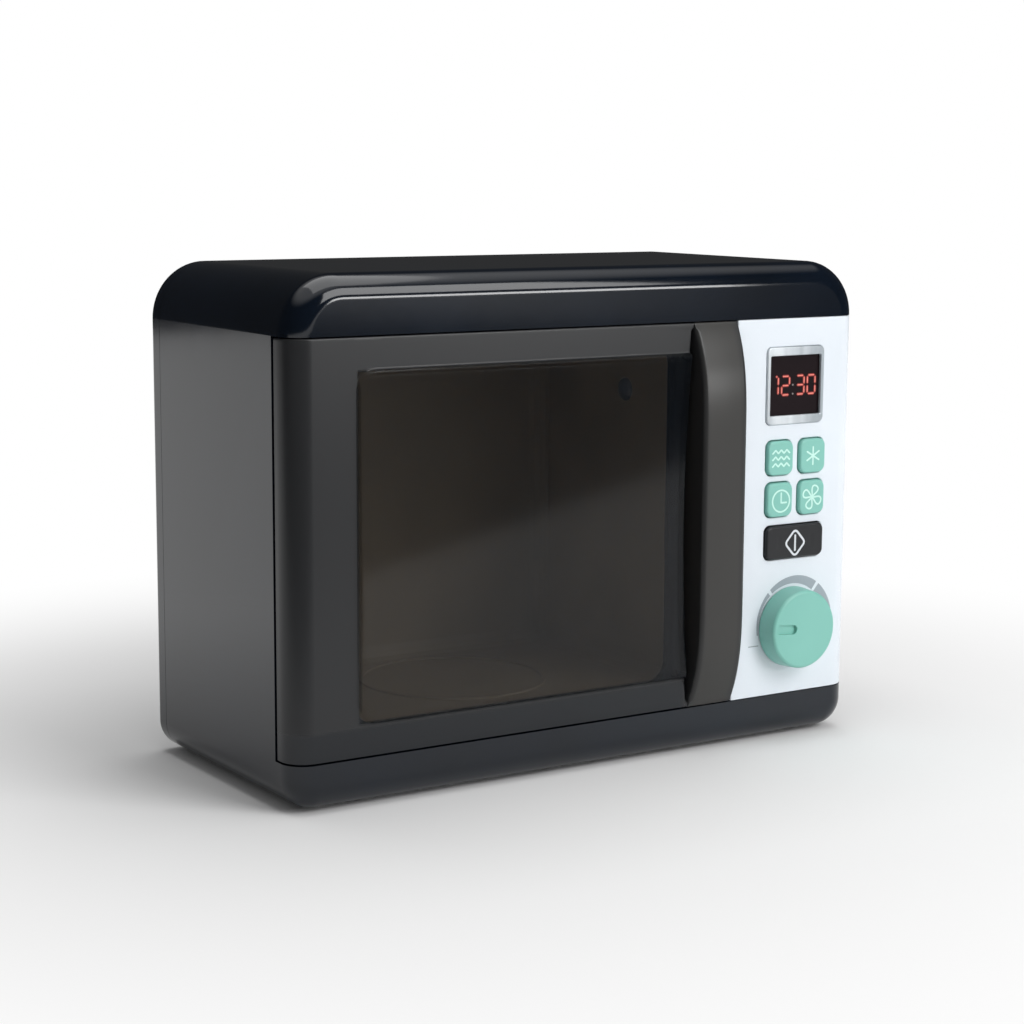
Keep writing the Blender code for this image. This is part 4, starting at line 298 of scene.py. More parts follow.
@dataclass(frozen=True)
class SmokedFinish(Finish):
    """Smoked polystyrene: a clear polished window, a polished lower band whose darker colour is painted
    shade, a satin frame, and a satin bar whose lighter colour is painted light.
    """

    satin_colour: str = "#222325"
    satin_roughness: float = 0.34
    # Painted light: the grab bar is the same satin moulding as the frame, painted a lighter colour as if
    # its proud face were lit.
    painted_light_bar_colour: str = "#333230"
    window: Zone = Zone((-0.1312, 0.0404), (0.0560, 0.2042))
    # Painted shade: the band below the window takes the darker polished colour, standing in for the shade
    # that falls there.
    painted_shade_band: Zone = Zone((-0.1700, 0.0100), (0.0560, 0.0384))
    # The grab bar's zone, where the lighter painted-light colour goes.
    bar: Zone = Zone((0.0600, 0.0), (0.0828, 0.3), 2.4 * MM)
    window_alpha: float = 0.44

    def build(self) -> bpy.types.Material:
        """Builds the material and then mixes the satin parts into it by zone.

        Returns:
            The new material.
        """
        material = super().build()
        tree = material.node_tree
        shader = tree.nodes["Principled BSDF"]
        place = add_node(tree, "TexCoord").outputs["Object"]
        parts = add_node(tree, "SeparateXYZ", {}, {"Vector": place})
        window, band, bar = (zone.share(tree, parts) for zone in (self.window, self.painted_shade_band, self.bar))
        # The window and the painted-shade band below it share the darker polished colour and gloss.
        polished = add_node(tree, "Math", {"operation": "MAXIMUM"}, {0: window, 1: band}).outputs[0]
        tint = shader.inputs["Base Color"].links[0].from_socket
        gloss = shader.inputs["Roughness"].links[0].from_socket
        # The frame's satin colour, and the grab bar's lighter colour as painted light.
        satin_and_painted_light_colours = {"data_type": "RGBA", 6: linear(self.satin_colour), 7: linear(self.painted_light_bar_colour)}
        satin = add_node(tree, "Mix", satin_and_painted_light_colours, {0: bar})
        colour = add_node(tree, "Mix", {"data_type": "RGBA"}, {0: polished, 6: satin.outputs[2], 7: tint})
        tree.links.new(colour.outputs[2], shader.inputs["Base Color"])
        roughness = {"data_type": "FLOAT", 2: self.satin_roughness}
        rough = add_node(tree, "Mix", roughness, {0: polished, 3: gloss})
        tree.links.new(rough.outputs[0], shader.inputs["Roughness"])
        alpha = add_node(tree, "MapRange", {"To Min": 1.0, "To Max": self.window_alpha}, {"Value": window})
        tree.links.new(alpha.outputs["Result"], shader.inputs["Alpha"])
        return material


class Palette:
    """Every finish of the toy, each named for its substance."""

    # High-gloss black polystyrene: near black with a cold cast, mirror-like reflections.
    HOUSING = Finish("gloss black polystyrene", "#091019", "#0c141f", 0.09, Making.POLISHED)
    # Smoked polystyrene: dark, clear enough to show the space behind it where it is polished.
    DOOR = SmokedFinish("smoked polystyrene", "#10141a", "#13171c", 0.08, Making.POLISHED, specular=0.45)
    # White polystyrene with a cold cast and a satin shine.
    PANEL = Finish("white polystyrene", "#e9f0f7", "#e5ecf3", 0.26)
    # Satin mould texture: a soft, broad shine on pale mint.
    MINT = Finish("mint polystyrene", "#87c8bb", "#81c2b5", 0.34)
    # The same texture on black, so it looks dark grey.
    START = Finish("black polystyrene", "#1b1c1f", "#1f2023", 0.34, Making.SPARKED, specular=0.4)
    # Plastic with a silver lacquer, brushed: a soft pale silver with streaks.
    BEZEL = Finish(
        "silver lacquered plastic", "#dfe5e9", "#aab2b8", 0.36, Making.BRUSHED, metallic=0.4,
        drift_mm=16.0, drift_stretch=(1.0, 1.0, 0.12),
    )
    # Tinted acrylic: near black with a brown-red cast, polished.
    DISPLAY = Finish("tinted acrylic", "#1a1215", "#1e1518", 0.25, Making.POLISHED, specular=0.12)
    # Red ink for the segments, with a thin coral line along the middle of each.
    RED = Finish("red ink", "#a02a22", "#93241d", 0.45, Making.PRINTED)
    CORAL = Finish("coral ink", "#ff9585", "#f68b7b", 0.45, Making.PRINTED)
    DOT = Finish("grey ink", "#8f8886", "#857f7d", 0.45, Making.PRINTED)
    # White and pale mint ink, and the cool grey ink of the knob's scale.
    WHITE_INK = Finish("white ink", "#dfe3e8", "#d7dce1", 0.50, Making.PRINTED)
    MINT_INK = Finish("pale mint ink", "#cdf5ea", "#c3efe3", 0.50, Making.PRINTED)
    SCALE_INK = Finish("cool grey ink", "#a4adb5", "#9da6af", 0.50, Making.PRINTED)
    # Warm grey polystyrene of the cavity, satin: it shows brown through the smoked window.
    CAVITY = Finish("brown-grey cavity polystyrene", "#bfae93", "#b1a188", 0.42)
    # Plated steel: bright with faint streaks, zinc the duller and bluer one.
    ZINC = Finish("zinc plated steel", "#b9bbbd", "#a9acb0", 0.33, Making.DRAWN, metallic=1.0)
    NICKEL = Finish("nickel plated spring steel", "#c2c0ba", "#b5b3ad", 0.24, Making.DRAWN, metallic=1.0)
    # Natural acetal: milky and waxy.
    ACETAL = Finish("natural acetal", "#e3dfd3", "#dad6c9", 0.42)
    # Grey silicone rubber: matt.
    SILICONE = Finish("grey silicone rubber", "#8d8f91", "#85878a", 0.62)
    # Laminated board: dull brown with a fibrous tooth.
    BOARD = Finish("phenolic board", "#8a6a35", "#7d5f2e", 0.50, Making.FIBROUS)
    # A cast blob over the chip: black with a soft shine.
    EPOXY = Finish("black epoxy", "#141414", "#1a1a1a", 0.30, Making.POLISHED)
    # The cavity lamp: glassy and see-through, one blue and one clear.
    LAMP = Finish("blue epoxy", "#2c4fd8", "#3458de", 0.16, Making.POLISHED, transmission=0.4)
    LENS = Finish("clear acrylic", "#dfe9f4", "#d8e3ef", 0.10, Making.POLISHED, transmission=0.8)
    # Pressed paper: dead black, with no shine.
    PAPER = Finish("black cone paper", "#1d1d1d", "#252423", 0.80, Making.FIBROUS)
    # Foil sleeve of a battery: dark blue with a metal shine.
    SLEEVE = Finish("battery sleeve", "#2a4a7c", "#26436f", 0.30, Making.POLISHED, metallic=0.3)
    # Soft wire covers: plain strong colours, half matt.
    RED_LEAD = Finish("red PVC wire cover", "#c22a25", "#b32520", 0.45)
    BLACK_LEAD = Finish("black PVC wire cover", "#161617", "#1c1c1d", 0.45)
    GREY_LEAD = Finish("grey PVC wire cover", "#8b8c8f", "#808185", 0.45)
    BLUE_LEAD = Finish("blue PVC wire cover", "#2f3f8f", "#293880", 0.45)


# Surface tools


def grid_quads(rows: int, columns: int, round_rows: bool = False, round_columns: bool = False) -> Array:
    """Corner indices of the quads of a grid whose points are numbered row by row.

    Args:
        rows: Number of rows.
        columns: Number of points in a row.
        round_rows: Whether the last row joins the first.
        round_columns: Whether each row closes on itself.

    Returns:
        An array with four indices for each quad.
    """
    row = np.arange(rows if round_rows else rows - 1)[:, None]
    column = np.arange(columns if round_columns else columns - 1)[None, :]
    after_row, after_column = (row + 1) % rows, (column + 1) % columns
    here, after = row * columns, after_row * columns
    corners = (here + column, here + after_column, after + after_column, after + column)
    quads = np.stack([np.broadcast_to(corner, (row.size, column.size)) for corner in corners], -1)
    return quads.reshape(-1, 4)


def mesh_from(name: str, points: Array, faces: Sequence[Sequence[int]]) -> Mesh:
    """A mesh with its doubles merged and its faces turned outwards.

    Args:
        name: The mesh's name.
        points: Points, three numbers each.
        faces: Point indices of each face.

    Returns:
        The mesh.
    """
    mesh = bpy.data.meshes.new(name)
    mesh.from_pydata(np.asarray(points, float).reshape(-1, 3).tolist(), [], [list(face) for face in faces])
    bm = bmesh.new()
    bm.from_mesh(mesh)
    bmesh.ops.remove_doubles(bm, verts=bm.verts[:], dist=WELD_DISTANCE)
    bmesh.ops.recalc_face_normals(bm, faces=bm.faces[:])
    bm.to_mesh(mesh)
    bm.free()
    return mesh


def loft(name: str, rings: Array, ring_loop: bool = False) -> Mesh:
    """A solid through closed rings: quads from ring to ring, and a flat cap on each end.

    Args:
        name: The mesh's name.
        rings: Points as (ring, point in the ring, 3).
        ring_loop: Whether the last ring joins the first, which leaves no caps.

    Returns:
        The mesh.
    """
    count, around = rings.shape[:2]
    faces = grid_quads(count, around, ring_loop, True).tolist()
    if not ring_loop:
        faces += [list(range(around)), list(range((count - 1) * around, count * around))]
    return mesh_from(name, rings, faces)


def turned(name: str, profile: Array, place: Matrix, sides: int) -> Mesh:
    """A profile of (radius, height) swept round Z: x = r cos a, y = r sin a, then moved to its place.

    Args:
        name: The mesh's name.
        profile: Radius and height of each point, from the axis and back to it.
        place: The matrix that puts it in the part's frame.
        sides: Number of steps round the axis.

    Returns:
        The mesh.
    """
    angle = np.linspace(0, 2 * np.pi, sides, endpoint=False)
    radius, height = np.asarray(profile, float).T
    x, y = radius[:, None] * np.cos(angle), radius[:, None] * np.sin(angle)
    points = np.stack([x, y, np.broadcast_to(height[:, None], x.shape)], -1)
    mesh = mesh_from(name, points, grid_quads(radius.size, sides, False, True))
    mesh.transform(place)
    return mesh


def facing(axis: Point, place: Point) -> Matrix:
    """A matrix that turns +Z to an axis and moves the origin to a place."""
    return Matrix.Translation(place) @ Vector(axis).to_track_quat("Z", "Y").to_matrix().to_4x4()


def rounded_corners(low: Point, high: Point, radii: Sequence[float], steps: int) -> Array:
    """A rectangle whose corners are quarter circles, anticlockwise from the lower left one.

    Args:
        low: Its lowest corner.
        high: Its highest corner.
        radii: The corners' radii: lower left, lower right, upper right, upper left.
        steps: Steps in each corner.

    Returns:
        Its points, two numbers each.
    """
    turn = np.linspace(0, QUARTER, steps + 1)
    side_u, side_v = np.array([-1, 1, 1, -1]), np.array([-1, -1, 1, 1])
    radius = np.asarray(radii, float)
    centre_u = np.where(side_u < 0, low[0] + radius, high[0] - radius)
    centre_v = np.where(side_v < 0, low[1] + radius, high[1] - radius)
    angle = (np.arange(4) * QUARTER + np.pi)[:, None] + turn
    u = centre_u[:, None] + radius[:, None] * np.cos(angle)
    v = centre_v[:, None] + radius[:, None] * np.sin(angle)
    return np.stack([u, v], -1).reshape(-1, 2)


def on_front(outline: Array, y: float | Array) -> Array:
    """Puts an outline of (x, z) at a depth y, one number or one for each point."""
    return np.stack([outline[:, 0], np.broadcast_to(y, outline.shape[:1]), outline[:, 1]], -1)


def on_plan(outline: Array, z: float) -> Array:
    """Puts an outline of (x, y) at a height z."""
    return np.stack([outline[:, 0], outline[:, 1], np.full(len(outline), z)], -1)


def circle(centre: Point, radius: float, sides: int) -> Array:
    """Points (u, v) evenly round a circle."""
    angle = np.linspace(0, 2 * np.pi, sides, endpoint=False)
    return np.stack([centre[0] + radius * np.cos(angle), centre[1] + radius * np.sin(angle)], -1)


def quarter_edge(radius: float, steps: int) -> tuple[Array, Array]:
    """Insets and drops of a rounded edge from its face: r (1 - sin a) and r (1 - cos a)."""
    angle = np.linspace(0, QUARTER, steps + 1)
    return radius * (1 - np.sin(angle)), radius * (1 - np.cos(angle))


def smooth(share: Array) -> Array:
    """Rises from 0 to 1 with no kink at either end: 3 t^2 - 2 t^3."""
    t = np.clip(share, 0, 1)
    return t * t * (3 - 2 * t)


def quarter_sine(share: Array) -> Array:
    """Rises from 0 to 1 as a quarter of a sine."""
    return np.sin(QUARTER * np.clip(share, 0, 1))


def front_prism(name: str, outline: Array, start: float, end: float) -> Mesh:
    """A solid from an outline of (x, z), carried along Y from start to end."""
    return loft(name, np.stack([on_front(outline, start), on_front(outline, end)]))


def plan_prism(name: str, outline: Array, low: float, high: float) -> Mesh:
    """A solid from an outline of (x, y), carried up Z from low to high."""
    return loft(name, np.stack([on_plan(outline, low), on_plan(outline, high)]))


def box_mesh(name: str, low: Point, high: Point) -> Mesh:
    """A box between two corners."""
    outline = np.array([(low[0], low[2]), (high[0], low[2]), (high[0], high[2]), (low[0], high[2])])
    return front_prism(name, outline, low[1], high[1])


def rod_along_y(
    name: str, centre: Point, start: float, end: float, radius: float, sides: int = 32
) -> Mesh:
    """A round rod along Y at a centre (x, z)."""
    return front_prism(name, circle(centre, radius, sides), start, end)


def merged(name: str, meshes: Iterable[Mesh]) -> Mesh:
    """One mesh that holds several closed ones, which are removed.

    Args:
        name: The new mesh's name.
        meshes: The meshes to put together.

    Returns:
        The new mesh.
    """
    bm = bmesh.new()
    for mesh in meshes:
        bm.from_mesh(mesh)
        bpy.data.meshes.remove(mesh)
    result = bpy.data.meshes.new(name)
    bm.to_mesh(result)
    bm.free()
    return result


class Carving(Enum):
    """What a tool does to a solid."""

    CUT = "DIFFERENCE"
    JOIN = "UNION"


CUT, JOIN = Carving


def add_object(name: str, data: bpy.types.ID) -> Object:
    """Links a new object to the scene.

    Args:
        name: Its name.
        data: Its mesh, lamp or camera.

    Returns:
        The object.
    """
    obj = bpy.data.objects.new(name, data)
    bpy.context.scene.collection.objects.link(obj)
    return obj


def carve(mesh: Mesh, tools: Sequence[tuple[Carving, Mesh]], edge: float = 0.0) -> Mesh:
    """Cuts tools out of a solid, or joins them to it, and rounds the sharp edges that are left.

    Args:
        mesh: The solid to work on, which is removed.
        tools: Each tool with what it does, in order. They are removed.
        edge: Radius of the rounded edges, or 0 for none.

    Returns:
        The finished mesh.
    """
    base = add_object("carved", mesh)
    helpers = []
    for carving, tool in tools:
        helper = add_object("tool", tool)
        helpers.append(helper)
        modifier = base.modifiers.new("carve", "BOOLEAN")
        modifier.operation = carving.value
        modifier.solver = "EXACT"
        modifier.use_self = True
        modifier.object = helper
    if edge:
        bevel = base.modifiers.new("edges", "BEVEL")
        bevel.width = edge
        bevel.segments = EDGE_STEPS
        bevel.limit_method = "ANGLE"
        bevel.angle_limit = math.radians(ROUNDED_DEGREES)
        bevel.miter_outer = "MITER_ARC"
    bpy.context.view_layer.update()
    evaluated = base.evaluated_get(bpy.context.evaluated_depsgraph_get())
    result = bpy.data.meshes.new_from_object(evaluated)
    result.name = mesh.name
    for obj in (base, *helpers):
        bpy.data.objects.remove(obj)
    for used in (mesh, *(tool for _, tool in tools)):
        bpy.data.meshes.remove(used)
    return result


def ink_rings(left: Array, right: Array, face: float, layer: int = 0) -> Array:
    """Rings of flat ink between two lines of (x, z) on a surface at y = face.

    Args:
        left: Points of the one edge.
        right: Points of the other edge.
        face: Y of the surface.
        layer: How many LAYER_STEPs further out its face is.

    Returns:
        Rings of four points each.
    """
    top, root = face - PRINT_RISE - layer * LAYER_STEP, face + PRINT_ROOT
    corners = ((left, top), (right, top), (right, root), (left, root))
    return np.stack([on_front(line, y) for line, y in corners], 1)


def stroke(path: Array, width: float, face: float, closed: bool = False, layer: int = 0) -> Mesh:
    """A printed line: a flat bar of ink carried along a path seen from the front, with round ends.

    At each point the bar reaches half a width to both sides along the path's normal. Past an open
    end the half width follows a half circle: half = w/2 sqrt(1 - t^2).

    Args:
        path: Points (x, z) along the line.
        width: The line's width.
        face: Y of the surface that it is printed on.
        closed: Whether the path is a loop.
        layer: How many lines it crosses on top of, each a LAYER_STEP lower.

    Returns:
        The mesh.
    """
    path = np.asarray(path, float)
    if closed:
        tangent = np.roll(path, -1, 0) - np.roll(path, 1, 0)
    else:
        tangent = np.gradient(path, axis=0)
    tangent /= np.linalg.norm(tangent, axis=1)[:, None]
    half = np.full(len(path), width / 2)
    if not closed:
        reach = np.sin(np.linspace(0, QUARTER, END_STEPS + 1))[1:] * ROUND_END
        sides = width / 2 * np.sqrt(1 - reach**2)
        start = path[0] - tangent[0] * (reach * width / 2)[::-1, None]
        end = path[-1] + tangent[-1] * (reach * width / 2)[:, None]
        path = np.concatenate([start, path, end])
        half = np.concatenate([sides[::-1], half, sides])
        before, after = (np.repeat(last, END_STEPS, 0) for last in (tangent[:1], tangent[-1:]))
        tangent = np.concatenate([before, tangent, after])
    normal = np.stack([-tangent[:, 1], tangent[:, 0]], -1) * half[:, None]
    left, right = path + normal, path - normal
    return loft("stroke", ink_rings(left, right, face, layer), closed)


def place_piece(
    name: str,
    mesh: Mesh,
    finish: Finish,
    body: str,
    stands_for: Sequence[str] = (),
) -> Object:
    """Links a finished mesh as a piece of the object and reports it.

    Args:
        name: The piece's name.
        mesh: Its mesh, with its place in its points.
        finish: Its finish.
        body: The body that it rides on.
        stands_for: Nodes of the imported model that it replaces.

    Returns:
        The piece.
    """
    mesh.name = name
    mesh.materials.clear()
    mesh.materials.append(finish.material())
    mesh.shade_smooth()
    mesh.set_sharp_from_angle(angle=math.radians(SHARP_DEGREES))
    obj = add_object(name, mesh)
    # A corner's normal follows the larger faces round it, so a flat face looks flat up to its edge.
    normals = obj.modifiers.new("even normals", "WEIGHTED_NORMAL")
    normals.keep_sharp = True
    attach(obj, body)
    if stands_for:
        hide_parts(*stands_for)
    LOG.info("%s: %d faces on %s", name, len(mesh.polygons), body)
    return obj


# Sub-assemblies


@dataclass(frozen=True)
class Body:
    """The toy's overall form, which every sub-assembly is set against."""

    width: float = 332.0 * MM
    height: float = 248.0 * MM
    depth: float = 150.0 * MM
    wall: float = 2.5 * MM
    top_radius: float = 28.0 * MM
    bottom_radius: float = 15.0 * MM
    front_radius: float = 12.0 * MM
    rear_radius: float = 5.0 * MM
    hood: float = 28.0 * MM
    sill: float = 24.0 * MM
    foot: float = 1.5 * MM
    knob_proud: float = 12.0 * MM
    door_depth: float = 15.0 * MM
    seat_gap: float = 0.3 * MM
    panel_width: float = 79.8 * MM
    cover_depth: float = 12.0 * MM
    screw_inset: float = 7.0 * MM
    screw_low: float = 52.0 * MM
    screw_drop: float = 44.0 * MM
    post_radius: float = 4.2 * MM
    corner_steps: int = 18
    edge_steps: int = 12

    @property
    def front(self) -> float:
        """Y of the front plane."""
        return (self.knob_proud - self.depth) / 2

    @property
    def rear(self) -> float:
        """Y of the back."""
        return self.front + self.depth

    @property
    def left(self) -> float:
        """X of the left side."""
        return -self.width / 2

    @property
    def right(self) -> float:
        """X of the right side."""
        return self.width / 2

    @property
    def hood_z(self) -> float:
        """Height of the hood's underside."""
        return self.height - self.hood

    @property
    def seam_x(self) -> float:
        """X of the seam between door and panel."""
        return self.right - self.panel_width

    @property
    def split(self) -> float:
        """Y where the sleeve ends and the rear cover starts."""
        return self.rear - self.cover_depth

    def ring(self, inset: float, y: float) -> Array:
        """The body's outline, moved in by inset, at a depth y.

        Args:
            inset: How far inside the outer surface.
            y: Its depth.

        Returns:
            The ring's points.
        """
        bottom, top = self.bottom_radius - inset, self.top_radius - inset
        low = (self.left + inset, self.foot + inset)
        high = (self.right - inset, self.height - inset)
        return on_front(rounded_corners(low, high, (bottom, bottom, top, top), self.corner_steps), y)

    def sleeve(self, skin: float, end: float) -> Array:
        """Rings of the sleeve's form, a skin inside it, from its rounded front edge to end.

        Args:
            skin: How far inside the outer surface.
            end: Y of the last ring.

        Returns:
            The rings.
        """
        insets, drops = quarter_edge(self.front_radius - skin, self.edge_steps)
        rings = [self.ring(skin + inset, self.front + skin + drop) for inset, drop in zip(insets, drops)]
        return np.stack([*rings, self.ring(skin, end)])

    def cap(self, skin: float, start: float) -> Array:
        """Rings of the rear cover's form, a skin inside it, from start to its rounded rear edge.

        Args:
            skin: How far inside the outer surface.
            start: Y of the first ring.

        Returns:
            The rings.
        """
        insets, drops = quarter_edge(self.rear_radius - skin, self.edge_steps)
        rings = [self.ring(skin + inset, self.rear - skin - drop) for inset, drop in zip(insets, drops)]
        return np.stack([self.ring(skin, start), *rings[::-1]])

    def screw_places(self) -> list[Pair]:
        """X and Z of the rear cover's six screws.

        Returns:
            The six places.
        """
        inner = self.wall + self.screw_inset
        side = self.right - inner
        levels = (self.screw_low, self.height - self.screw_drop)
        ends = [(sign * side, z) for z in levels for sign in (-1, 1)]
        return [*ends, (0.0, self.foot + inner), (0.0, self.height - inner)]

    def screw_posts(self, start: float, end: float) -> Mesh:
        """A round post for each of the rear cover's screws, along Y from start to end."""
        radius = self.post_radius
        return merged("posts", [rod_along_y("post", xz, start, end, radius) for xz in self.screw_places()])


@dataclass(frozen=True)
class Housing:
    """The glossy sleeve with its hood, sill, front recess and feet."""

    body: Body
    lip: float = 1.0 * MM
    hinge_inset: float = 10.0 * MM
    swing_clearance: float = 0.4 * MM
    stop_offset: float = 8.0 * MM
    edge_radius: float = 0.45 * MM
    pin_bore: float = 2.9 * MM
    pin_depth: float = 4.9 * MM
    boss_wall: float = 2.2 * MM
    foot_radius: float = 8.0 * MM
    foot_side_inset: float = 40.0 * MM
    foot_end_inset: float = 28.0 * MM
    oven_low: Pair = (-125.0 * MM, 36.0 * MM)
    oven_high: Pair = (56.0 * MM, 208.0 * MM)
    oven_radius: float = 10.0 * MM
    board_low: Pair = (100.2 * MM, 38.0 * MM)
    board_high: Pair = (150.4 * MM, 206.0 * MM)
    catch_sides: Pair = (82.5 * MM, 87.1 * MM)
    catch_reach: float = 7.2 * MM
    post_length: float = 30.0 * MM

    @property
    def recess(self) -> float:
        """Depth of the front recess."""
        return self.body.door_depth + self.body.seat_gap

    @property
    def hinge(self) -> Pair:
        """X and Y of the door's hinge axis."""
        return self.body.left + self.hinge_inset, self.body.front + self.hinge_inset

    @property
    def swing_radius(self) -> float:
        """Radius that the door's hinge edge sweeps, with its clearance."""
        return math.hypot(self.hinge_inset, self.body.door_depth - self.hinge_inset) + self.swing_clearance

    def pocket(self, skin: float) -> Array:
        """The hinge pocket in plan: a circle about the hinge, cut off by a flat that stops the door.

        Args:
            skin: How far inside the outer surface.

        Returns:
            Its points (x, y).
        """
        radius = self.swing_radius + skin
        half = math.acos((self.stop_offset + skin) / radius)
        angle = np.linspace(half, 2 * np.pi - half, 64)
        x, y = self.hinge
        return np.stack([x + radius * np.cos(angle), y + radius * np.sin(angle)], -1)

    def recess_box(self, skin: float) -> Mesh:
        """The space for door and panel, grown by a skin.

        Args:
            skin: How much it is grown.

        Returns:
            The mesh.
        """
        body, reach = self.body, OVERRUN + skin
        low = (body.left - reach, body.front - reach, body.sill - skin)
        high = (body.right + reach, body.front + self.recess + skin, body.hood_z + skin)
        return box_mesh("recess", low, high)

    def hollow(self) -> Mesh:
        """The sleeve's inside, kept a wall away from the recess and the pocket.

        Returns:
            The mesh.
        """
        body, wall = self.body, self.body.wall
        inside = loft("hollow", body.sleeve(wall, body.split + OVERRUN))
        pocket = plan_prism("pocket", self.pocket(wall), body.sill - wall, body.hood_z + wall)
        return carve(inside, [(CUT, self.recess_box(wall)), (CUT, pocket)])

    def hinge_rods(self, radius: float, start: float, end: float) -> Mesh:
        """Rods on the hinge axis above the hood's underside and below the sill's top.

        Args:
            radius: Their radius.
            start: How far past the hood and the sill they start.
            end: How far past them they end.

        Returns:
            The mesh.
        """
        body = self.body
        rods = []
        for z, way in ((body.hood_z, 1), (body.sill, -1)):
            low, high = sorted((z + way * start, z + way * end))
            rods.append(plan_prism("rod", circle(self.hinge, radius, 32), low, high))
        return merged("hinge rods", rods)

    def feet(self) -> Mesh:
        """Four round pads under the floor of the sleeve.

        Returns:
            The mesh.
        """
        body = self.body
        top = body.foot + body.wall / 2
        pads = [
            plan_prism("foot", circle((x, y), self.foot_radius, 40), 0.0, top)
            for x in (body.left + self.foot_side_inset, body.right - self.foot_side_inset)
            for y in (body.front + self.foot_end_inset, body.rear - self.foot_end_inset)
        ]
        return merged("feet", pads)

    def openings(self) -> Mesh:
        """The holes in the front frame: oven, board window and catch slot.

        Returns:
            The mesh.
        """
        body = self.body
        start = body.front + self.recess - OVERRUN
        end = body.front + self.recess + body.wall + OVERRUN
        oven = rounded_corners(self.oven_low, self.oven_high, (self.oven_radius,) * 4, 10)
        middle = (body.sill + body.hood_z) / 2
        catch = [(x, middle + way * self.catch_reach) for x, way in zip(self.catch_sides, (-1, 1))]
        holes = [front_prism("oven", oven, start, end)]
        for low, high in ((self.board_low, self.board_high), catch):
            holes.append(box_mesh("hole", (low[0], start, low[1]), (high[0], end, high[1])))
        return merged("openings", holes)

    def build(self) -> None:
        """Carves the sleeve out of its rounded form and places it."""
        body = self.body
        side = box_mesh(
            "door side",
            (body.left - OVERRUN, body.front - OVERRUN, body.sill),
            (body.left + body.wall, body.front + self.lip_depth, body.hood_z),
        )
        boss = self.pin_bore + self.boss_wall
        tools = [
            (CUT, self.recess_box(0.0)),
            (CUT, plan_prism("pocket", self.pocket(0.0), body.sill, body.hood_z)),
            (CUT, side),
            (CUT, self.hollow()),
            (JOIN, self.feet()),
            (JOIN, body.screw_posts(body.split - self.post_length, body.split)),
            (JOIN, self.hinge_rods(boss, body.wall / 2, self.pin_depth + self.boss_wall)),
            (CUT, self.hinge_rods(self.pin_bore, -OVERRUN, self.pin_depth)),
            (CUT, self.openings()),
        ]
        mesh = carve(loft("sleeve", body.sleeve(0.0, body.split)), tools, self.edge_radius)
        place_piece("housing_skin", mesh, Palette.HOUSING, "housing", ["housing_shell"])

    @property
    def lip_depth(self) -> float:
        """How far back the open side of the hinge pocket reaches."""
        return self.hinge_inset + math.sqrt(self.swing_radius**2 - (self.hinge_inset - self.lip) ** 2)


